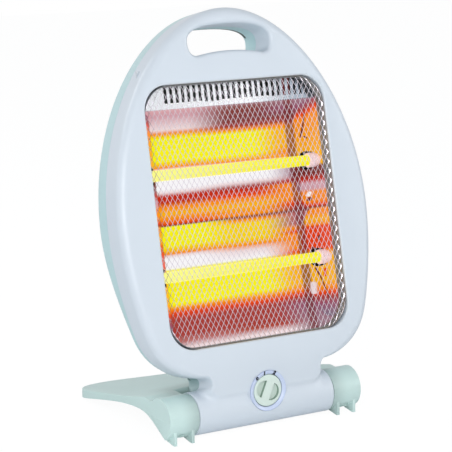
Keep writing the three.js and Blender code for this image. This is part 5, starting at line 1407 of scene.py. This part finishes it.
class HEATER_OT_dial(bpy.types.Operator):
    """Make the dial ring with its figures, and the knob with its grip"""

    bl_idname = "heater.dial"
    bl_label = "Dial and Knob"

    def execute(self, context):
        dial = sizes(context, "dial")
        self.ring(dial)
        self.figures(dial)
        self.knob(dial)
        return {"FINISHED"}

    @staticmethod
    def ring(dial):
        bore = dial.knob_radius + 0.5 * MM
        back = PLAY - dial.ring_seat
        lip = 0.5 * MM
        profile = [(bore, back), (dial.ring_radius, back), (dial.ring_radius, dial.ring_proud - lip)]
        profile += arc((dial.ring_radius - lip, dial.ring_proud - lip), lip, 0, HALF_TURN * 0.8, 8)[1:]
        profile += [
            (dial.ring_radius - 0.9 * MM, dial.ring_proud - 0.35 * MM),
            (bore + 0.2 * MM, dial.knob_face + 0.1 * MM), (bore, dial.knob_face - 0.2 * MM),
        ]
        ring = thing("dial_ring_moulding", turned(profile, 128), dial_matrix())
        finish_piece(ring, "heater_body", MATERIALS["dial"], ["dial_ring"])

    @staticmethod
    def figures(dial):
        inner, outer = dial.knob_radius + 0.7 * MM, dial.ring_radius - 0.9 * MM
        low, high = dial.knob_face + 0.1 * MM, dial.ring_proud - 0.35 * MM
        slope = math.atan2(high - low, outer - inner)
        marks = bmesh.new()
        # Each figure with its angle clockwise from the top and its distance from the dial's middle
        for text, degrees, radius in (("0", -43, 0.0186), ("1", -14, 0.0181), ("2", 22.5, 0.0178)):
            curve = bpy.data.curves.new("figure", "FONT")
            curve.body = text
            curve.size = dial.figure
            curve.align_x = "CENTER"
            curve.align_y = "CENTER"
            curve.extrude = 0.16 * MM
            curve.offset = 0.4 * MM
            carrier = bpy.data.objects.new("figure", curve)
            bpy.context.scene.collection.objects.link(carrier)
            view = bpy.context.evaluated_depsgraph_get()
            mesh = bpy.data.meshes.new_from_object(carrier.evaluated_get(view))
            bpy.data.objects.remove(carrier)
            bpy.data.curves.remove(curve)
            level = low + (high - low) * (radius - inner) / (outer - inner) + 0.08 * MM
            place = Matrix.Rotation(math.radians(-degrees), 4, "Z") @ Matrix.Translation((0, radius, level))
            mesh.transform(place @ Matrix.Rotation(slope, 4, "X"))
            marks.from_mesh(mesh)
            bpy.data.meshes.remove(mesh)
        piece = thing("dial_figures", marks, dial_matrix())
        finish_piece(piece, "heater_body", MATERIALS["ink"])

    @staticmethod
    def knob(dial):
        face, radius, round_ = dial.knob_face, dial.knob_radius, dial.knob_round
        wall, boss, bore = 2 * MM, 4.2 * MM, 2.65 * MM
        floor, bore_end = face - dial.recess_depth - wall, face - wall + PLAY
        profile = [(0, face), (radius - round_, face)]
        profile += arc((radius - round_, face - round_), round_, QUARTER, 0, 8)[1:]
        profile += [
            (radius, dial.knob_back), (radius - wall, dial.knob_back), (radius - wall, floor),
            (boss, floor), (boss, dial.knob_back), (bore, dial.knob_back), (bore, bore_end), (0, bore_end),
        ]
        matrix = dial_matrix() @ Matrix.Rotation(-dial.rest, 4, "Z")
        knob = thing("turned_knob", turned(profile, 128), matrix)
        recesses = []
        for turn in (0, HALF_TURN):
            centre = (dial.grip_half * math.cos(turn), 0)
            outline = arc(centre, dial.recess_radius, turn - QUARTER, turn + QUARTER, 40)
            recess = prism(outline, face - dial.recess_depth, face + OVERRUN, "xy")
            recesses.append(thing("recess", recess, matrix))
        combine(knob, "DIFFERENCE", recesses)
        soften(knob, 0.3 * MM, 3)
        finish_piece(knob, "knob", MATERIALS["knob"], ["knob"])


# Foot

def ramp_line(foot, axis_height):
    """The foot's top seen from the side, from the caps' front to the rear edge, as (depth, height)."""
    leave, radius = foot.cap_leave, foot.cap_radius
    start = (radius * math.cos(leave), axis_height + radius * math.sin(leave))
    ramp = (foot.ramp_depth, foot.ramp_height)
    rear = (foot.lobe_depth + OVERRUN, foot.rear_height - 0.3 * MM)
    line = arc((0, axis_height), radius, HALF_TURN, leave, 60)
    line += bezier(
        start, (start[0] + foot.cap_lead / 2, start[1] - foot.cap_lead / 2),
        (ramp[0] - foot.cap_lead, ramp[1] + 0.3 * MM), ramp, 14,
    )[1:]
    line += bezier(
        ramp, (ramp[0] + foot.ramp_lead, ramp[1] - foot.ramp_fall),
        (rear[0] - foot.rear_lead, rear[1] + foot.rear_rise), rear, 40,
    )[1:]
    return line


def under_line(foot, split):
    arch, land = (foot.arch_depth, split), (foot.land_start, foot.land_lift)
    line = bezier(
        arch, (arch[0] + foot.arch_lead, arch[1]),
        (land[0] - foot.land_lead, land[1] + foot.land_rise), land, 36,
    )
    return [(-foot.cap_radius - OVERRUN, split)] + line + [(foot.lobe_depth + OVERRUN, foot.land_lift)]


def foot_plan(foot):
    half = [
        (0, foot.plate_front), (foot.beside_neck, foot.plate_front), (foot.beside_neck, foot.tongue_front),
        (foot.cap_inner, foot.tongue_front), (foot.cap_inner, -foot.cap_radius),
        (foot.half_width, -foot.cap_radius), (foot.half_width, foot.corner_start),
    ]
    half += bezier(
        half[-1], (foot.half_width, foot.corner_start + foot.corner_lead),
        (foot.lobe_half + foot.corner_lead, foot.lobe_depth), (foot.lobe_half, foot.lobe_depth), 24,
    )[1:]
    half += bezier(
        half[-1], (foot.lobe_half - foot.corner_lead, foot.lobe_depth),
        (foot.corner_lead, foot.rear_depth), (0, foot.rear_depth), 24,
    )[1:]
    return mirrored(half)


def foot_block(foot, thin):
    """The foot's plate and the caps' upper halves as one solid, or the hollow in them."""
    axis_height = joint_places["body_tilt"].z
    split = axis_height + 0.03 * MM
    top_line, bottom_line = ramp_line(foot, axis_height), under_line(foot, split)
    plan = foot_plan(foot)
    # The caps' front is a round already, and the edge behind the neck is rounded over three times as far
    weights = [0.04 if y < -foot.cap_radius + MM else 3.0 if y == foot.plate_front else 1.0 for _, y in plan]
    rings = [(inset(plan, thin), 0.0, 0.0)]
    steps = 4 if thin == 0 else 1
    radius = foot.edge_round if thin == 0 else 0.0
    for k in range(steps + 1):
        a = QUARTER * k / steps
        spread = [thin + w * radius * (1 - math.cos(a)) for w in weights]
        rings.append((inset(plan, spread), 1.0, radius * (1 - math.sin(a))))
    rows = []
    for points, share, recess in rings:
        rows.append([(x, y, share * 2 - recess * max(w, 1.0)) for (x, y), w in zip(points, weights)])
    bm = loft(rows)
    around = [-foot.cap_radius * math.cos(math.radians(a)) for a in range(3, 130, 5)]
    near, far = [0.014 + 0.0025 * k for k in range(20)], [0.066 + 0.007 * k for k in range(14)]
    cut_planes(bm, 1, around + near + far)
    cut_planes(bm, 0, [0.012 * k for k in range(-8, 9)])
    for vert in bm.verts:
        x, y, level = vert.co
        low = along(bottom_line, y)
        high = max(along(top_line, y), low)
        swell = smooth_step(0.028, 0.052, y) * (1 - smooth_step(0.060, 0.165, y))
        high += foot.crown * swell * (1 - (x / foot.half_width) ** 2)
        if thin:
            low -= OVERRUN
            high = max(high - thin, low)
        if level < 0.5:
            vert.co.z = low
        else:
            vert.co.z = high + (level - 2) * min(1.0, (high - low) / (4 * foot.edge_round))
    return bm


# Across, depth and seat of the front and rear cover screws, and the foot's fixed sizes, in metres
COVER_SCREWS = [(0.0935, -0.0126, 0.0142), (0.0935, 0.0162, 0.0202)]
SOLID_REAR = 0.156
RIB = {"pitch": 0.052, "half": 0.001, "front": 0.03}
CRADLE = {"inner": 0.0995, "outer": 0.102, "front": -0.03, "rear": 0.0201}
AXLE = {"bore": 5.8 * MM, "half": 0.1035, "barrel_room": 0.0217}
PAD = {"x": 0.078, "half": 0.012, "front": 0.166, "rear": 0.176, "height": 2.6 * MM}
GROOVE = {"pitch": 2.6 * MM, "half": 0.4 * MM, "depth": 0.6 * MM, "reach": 0.02}


class HEATER_OT_foot(bpy.types.Operator):
    """Mould the foot: swelling plate, cap tops, ribs and pad pockets"""

    bl_idname = "heater.foot"
    bl_label = "Foot"

    def execute(self, context):
        foot = sizes(context, "foot")
        matrix = foot_matrix()
        base = thing("foot_moulding", foot_block(foot, 0.0), matrix)
        hollow = thing("hollow", foot_block(foot, 2.5 * MM), matrix)
        # These blocks reach past the foot on every side where they aren't meant to end
        wide, far, under, over = 0.12, 0.2, -0.02, 0.05
        keep = [thing("solid_rear", block((-wide, SOLID_REAR, under), (wide, far, over)), matrix)]
        for i in (-1, 0, 1):
            left, right = i * RIB["pitch"] - RIB["half"], i * RIB["pitch"] + RIB["half"]
            keep.append(thing("rib", block((left, RIB["front"], under), (right, far, over)), matrix))
        for side in (-1, 1):
            left, right = sorted((side * CRADLE["inner"], side * CRADLE["outer"]))
            low, high = (left, CRADLE["front"], under), (right, CRADLE["rear"], over + 0.01)
            keep.append(thing("cradle", block(low, high), matrix))
        combine(hollow, "DIFFERENCE", keep)
        pockets = [hollow]
        for side in (-1, 1):
            left, right = side * PAD["x"] - PAD["half"] - PLAY, side * PAD["x"] + PAD["half"] + PLAY
            low = (left, PAD["front"] - PLAY, -OVERRUN)
            high = (right, PAD["rear"] + PLAY, PAD["height"] + PLAY)
            pockets.append(thing("pocket", block(low, high), matrix))
        axle = Matrix.Translation((0, 0, joint_places["body_tilt"].z)) @ Matrix.Rotation(QUARTER, 4, "Y")
        bore = cylinder(AXLE["bore"], -AXLE["half"], AXLE["half"], 48)
        pockets.append(thing("bore", bore, matrix @ axle))
        room = cylinder(AXLE["barrel_room"], -foot.cap_inner, foot.cap_inner, 96)
        pockets.append(thing("barrel_room", room, matrix @ axle))
        combine(base, "DIFFERENCE", pockets)
        finish_piece(base, "foot", MATERIALS["foot"], ["foot_base"])
        for side in (-1, 1):
            self.cover(foot, side)
            self.pad(side)
        return {"FINISHED"}

    @staticmethod
    def cover(foot, side):
        axis_height = joint_places["body_tilt"].z
        split = axis_height - 0.03 * MM
        radius = foot.cap_radius
        front = math.radians(242.4)
        rear_lead, front_lead, front_rise = 0.018, 0.017, 0.0084
        start = (foot.arch_depth, split)
        end = (radius * math.cos(front), axis_height + radius * math.sin(front))
        section = bezier(
            start, (start[0] - rear_lead, split), (end[0] + front_lead, end[1] + front_rise), end, 28,
        )[:-1]
        section += arc((0, axis_height), radius, front, HALF_TURN, 26)[:-1] + [(-radius, split)]
        low, high = sorted((side * foot.cap_inner, side * foot.half_width))
        name = "left" if side < 0 else "right"
        cover = thing(name + "_cap_cover_moulding", prism(section, low, high, "yz"), foot_matrix())
        on_cap = math.sqrt(radius ** 2 - (axis_height - foot.fin_top) ** 2)
        # A fin seen from the side: its foot, its rear edge inside the cap, and its top on the cap's round
        rear, low, high = -3.5 * MM, 1.6 * MM, 9.6 * MM
        fin = [
            (-foot.fin_depth, 0), (3 * MM - foot.fin_depth, 0), (rear, low), (rear, high),
            (2 * MM - on_cap, foot.fin_top), (-on_cap, foot.fin_top),
        ]
        fins = []
        for x in (foot.fin_inner, foot.fin_outer):
            a, b = sorted((side * x - foot.fin_thickness / 2, side * x + foot.fin_thickness / 2))
            fins.append(thing("fin", prism(fin, a, b, "yz"), foot_matrix()))
        combine(cover, "UNION", fins)
        wells = []
        for x, y, seat in COVER_SCREWS:
            place = foot_matrix() @ Matrix.Translation((side * x, y, 0))
            wells.append(thing("well", cylinder(SCREW_WELL, -OVERRUN, seat, 40), place))
        combine(cover, "DIFFERENCE", wells)
        soften(cover, 0.2 * MM, 2, 40)
        finish_piece(cover, "foot", MATERIALS["foot"], [name + "_cap_cover"])

    @staticmethod
    def pad(side):
        name = "left" if side < 0 else "right"
        x, corner = side * PAD["x"], 2 * MM
        outline = rounded_rectangle(x - PAD["half"], x + PAD["half"], PAD["front"], PAD["rear"], corner, 6)
        pad = thing(name + "_rubber_pad", prism(outline, 0.0, PAD["height"], "xy"), foot_matrix())
        grooves = []
        for i in (-1, 0, 1):
            y = (PAD["front"] + PAD["rear"]) / 2 + i * GROOVE["pitch"]
            low = (x - GROOVE["reach"], y - GROOVE["half"], -OVERRUN)
            high = (x + GROOVE["reach"], y + GROOVE["half"], GROOVE["depth"])
            grooves.append(thing("groove", block(low, high), foot_matrix()))
        combine(pad, "DIFFERENCE", grooves)
        soften(pad, 0.25 * MM)
        finish_piece(pad, "foot", MATERIALS["rubber"], [name + "_foot_pad"])


class HEATER_OT_fasteners(bpy.types.Operator):
    """Make the cross-head screws and the cord gland"""

    bl_idname = "heater.fasteners"
    bl_label = "Screws and Gland"

    def execute(self, context):
        lay = Matrix.Rotation(-QUARTER, 4, "X")
        for name, (x, z) in zip(("top", "middle", "barrel"), SHELL_SCREWS):
            for side, hand in ((-1, "left"), (1, "right")):
                place = body_matrix() @ Matrix.Translation((side * x, SCREW_SEAT + PLAY, z)) @ lay
                self.screw(f"{name}_{hand}_shell_screw", place, 22 * MM, "heater_body")
        for side, hand in ((-1, "left"), (1, "right")):
            for (x, y, seat), end in zip(COVER_SCREWS, ("front", "rear")):
                place = foot_matrix() @ Matrix.Translation((side * x, y, seat - PLAY))
                place = place @ Matrix.Rotation(HALF_TURN, 4, "X")
                self.screw(f"{end}_{hand}_cover_screw", place, 14 * MM, "foot")
        self.gland(sizes(context, "body"))
        return {"FINISHED"}

    @staticmethod
    def screw(node, place, shank, body):
        head, height, neck = 3 * MM, 2.1 * MM, 1.4 * MM
        profile = [
            (0, height), (head * 0.55, height), (head * 0.85, height * 0.8), (head, height * 0.35), (head, 0),
            (neck, 0), (neck, -shank + neck), (0, -shank),
        ]
        screw = thing(node + "_turned", turned(profile, 32), place)
        slots = []
        reach, half, depth, askew = 1.7 * MM, 0.35 * MM, 1.1 * MM, 0.4
        for turn in (0, QUARTER):
            cross = place @ Matrix.Rotation(turn + askew, 4, "Z")
            low, high = (-reach, -half, height - depth), (reach, half, height + OVERRUN)
            slots.append(thing("slot", block(low, high), cross))
        combine(screw, "DIFFERENCE", slots)
        finish_piece(screw, body, MATERIALS["zinc"], [node])

    @staticmethod
    def gland(body):
        face = body.rear_depth
        lay = Matrix.Rotation(-QUARTER, 4, "X")
        place = body_matrix() @ Matrix.Translation((GLAND["x"], 0, GLAND["z"])) @ lay
        inside, outside = face - body.wall - 4.3 * MM, face + 8 * MM
        bore, radius, collar = GLAND["bore"], GLAND["radius"], GLAND["collar"]
        collar_end = face + 3.3 * MM
        profile = [(bore, inside), (radius, inside), (radius, face + PLAY), (collar - 0.4 * MM, face + PLAY)]
        profile += [(collar, face + 0.7 * MM), (collar, face + 2.7 * MM), (collar - 0.6 * MM, collar_end)]
        ribs = 3
        rib = (outside - collar_end) / ribs
        for i in range(ribs):
            start, taper = collar_end + i * rib, i * 0.3 * MM
            high, low = radius + 0.5 * MM - taper, radius - 0.2 * MM - taper
            profile += [(high, start), (high, start + rib * 0.6)]
            profile += [(low, start + rib * 0.62), (low, start + rib)]
        profile += [(bore, outside)]
        gland = thing("ribbed_cord_gland", turned(profile, 64), place)
        finish_piece(gland, "heater_body", MATERIALS["dark_nylon"], ["cord_gland"])


NODE_FINISHES = {
    "zinc_steel": "zinc", "brass": "brass", "washer_fibre": "fibre", "pale_insulator": "nylon",
    "dark_insulator": "dark_nylon", "blue_sleeve": "blue_sleeve", "brown_sleeve": "brown_sleeve",
    "front_plastic": "front", "rear_plastic": "rear", "foot_plastic": "foot", "knob_plastic": "knob",
    "dial_plastic": "dial", "grille_chrome": "guard", "reflector_sheet": "reflector",
    "quartz_glass": "quartz", "hot_wire": "coil", "ceramic": "ceramic", "pad_rubber": "rubber",
}


class HEATER_OT_inner_parts(bpy.types.Operator):
    """Give every solid its finish; the small parts inside keep theirs, finer pieces replace the rest"""

    bl_idname = "heater.inner_parts"
    bl_label = "Inner Parts"

    def execute(self, context):
        for entry in frame["record"]["subparts"]:
            node = bpy.data.objects.get(entry["node"])
            if node is None:
                raise RuntimeError("no node named " + entry["node"])
            material = MATERIALS[NODE_FINISHES[entry["material_slot"]]]
            if node.material_slots:
                for place in node.material_slots:
                    place.material = material
            else:
                node.data.materials.append(material)
        return {"FINISHED"}


class HEATER_OT_stage(bpy.types.Operator):
    """Set the floor, the lamps, the sky and the camera"""

    bl_idname = "heater.stage"
    bl_label = "Stage"

    def execute(self, context):
        make_materials(context)
        self.floor()
        self.sky(context.scene)
        self.lamps()
        self.camera(context.scene)
        context.scene.view_settings.view_transform = "Standard"
        return {"FINISHED"}

    @staticmethod
    def floor():
        # The paper lies just below the floor's level, so that the fins don't cut it
        half, bottom, top = 4.0, -0.02, -PLAY
        floor = thing("studio_floor", block((-half, -half, bottom), (half, half, top)))
        material, tree = new_material("pale_studio_paper")
        rays = add_node(tree, "LightPath").outputs
        paper = add_node(tree, "BsdfDiffuse", {"Color": linear("f4f6f7")})
        light = add_node(tree, "Emission", {"Color": WHITE, "Strength": 1.04})
        share = add_node(tree, "Math", {0: rays["Is Camera Ray"], 1: 0.92}, operation="MULTIPLY")
        surface = add_node(tree, "MixShader", {"Fac": share, 1: paper, 2: light})
        add_node(tree, "OutputMaterial", {"Surface": surface})
        floor.data.materials.append(material)

    @staticmethod
    def sky(scene):
        world = bpy.data.worlds.new("studio_sky")
        scene.world = world
        world.use_nodes = True
        tree = world.node_tree
        tree.nodes.clear()
        rays = add_node(tree, "LightPath").outputs
        seen = rays["Is Camera Ray"]
        for way in ("Is Glossy Ray", "Is Transmission Ray"):
            seen = add_node(tree, "Math", {0: seen, 1: rays[way]}, operation="MAXIMUM")
        dim = add_node(tree, "Background", {"Color": linear("f1f5fa"), "Strength": 0.46})
        white = add_node(tree, "Background", {"Color": WHITE, "Strength": 1.0})
        surface = add_node(tree, "MixShader", {"Fac": seen, 1: dim, 2: white})
        add_node(tree, "OutputWorld", {"Surface": surface})

    @staticmethod
    def lamps():
        # Each lamp with its place, its width in metres and its power in watts
        target = Vector((0, -0.05, 0.2))
        lamps = (
            ("key_lamp", (-1.1, -1.5, 0.7), 1.0, 17.0),
            ("fill_lamp", (1.6, -1.2, 0.7), 1.2, 8.0),
            ("rim_lamp", (-1.2, 1.3, 1.4), 1.0, 8.0),
        )
        for name, place, size, power in lamps:
            data = bpy.data.lights.new(name, "AREA")
            data.shape = "DISK"
            data.size = size
            data.energy = power
            lamp = bpy.data.objects.new(name, data)
            lamp.location = place
            lamp.rotation_euler = (target - Vector(place)).to_track_quat("-Z", "Y").to_euler()
            bpy.context.scene.collection.objects.link(lamp)

    @staticmethod
    def camera(scene):
        # Where the photograph was taken from, found by fitting the body's outline and the floor contacts
        tilt = joint_places["body_tilt"]
        place = Vector((-0.9095, tilt.y - 1.42765, 0.54778))
        target = Vector((-0.03562, tilt.y, 0.19929))
        data = bpy.data.cameras.new("photo_camera")
        data.sensor_width = 36.0
        data.lens = 145.55
        camera = bpy.data.objects.new("photo_camera", data)
        camera.location = place
        camera.rotation_euler = (target - place).to_track_quat("-Z", "Y").to_euler()
        scene.collection.objects.link(camera)
        scene.camera = camera


OPERATORS = (
    HEATER_OT_stage, HEATER_OT_inner_parts, HEATER_OT_front_shell, HEATER_OT_rear_shell, HEATER_OT_guard,
    HEATER_OT_reflector, HEATER_OT_end_plates, HEATER_OT_tubes, HEATER_OT_dial, HEATER_OT_foot,
    HEATER_OT_fasteners,
)


class HEATER_PT_panel(bpy.types.Panel):
    """Lists the heater's pieces and finishes"""

    bl_idname = "HEATER_PT_panel"
    bl_label = "Quartz Heater"
    bl_space_type = "VIEW_3D"
    bl_region_type = "UI"
    bl_category = "Heater"

    def draw(self, context):
        for kind in OPERATORS:
            self.layout.operator(kind.bl_idname)
        finishes = sizes(context, "finishes")
        for name in finishes.__annotations__:
            self.layout.prop(finishes, name)


GROUPS = {
    "body": HeaterBodySizes,
    "window": HeaterWindowSizes,
    "handle": HeaterHandleSizes,
    "element": HeaterElementSizes,
    "dial": HeaterDialSizes,
    "foot": HeaterFootSizes,
    "finishes": HeaterFinishes,
}


def register():
    for name, group in GROUPS.items():
        bpy.utils.register_class(group)
        setattr(bpy.types.Scene, "heater_" + name, PointerProperty(type=group))
    for kind in OPERATORS + (HEATER_PT_panel,):
        bpy.utils.register_class(kind)


def unregister():
    for kind in reversed(OPERATORS + (HEATER_PT_panel,)):
        bpy.utils.unregister_class(kind)
    for name, group in GROUPS.items():
        delattr(bpy.types.Scene, "heater_" + name)
        bpy.utils.unregister_class(group)


def main():
    register()
    for kind in OPERATORS:
        group, name = kind.bl_idname.split(".")
        getattr(getattr(bpy.ops, group), name)()


if __name__ == "__main__":
    main()
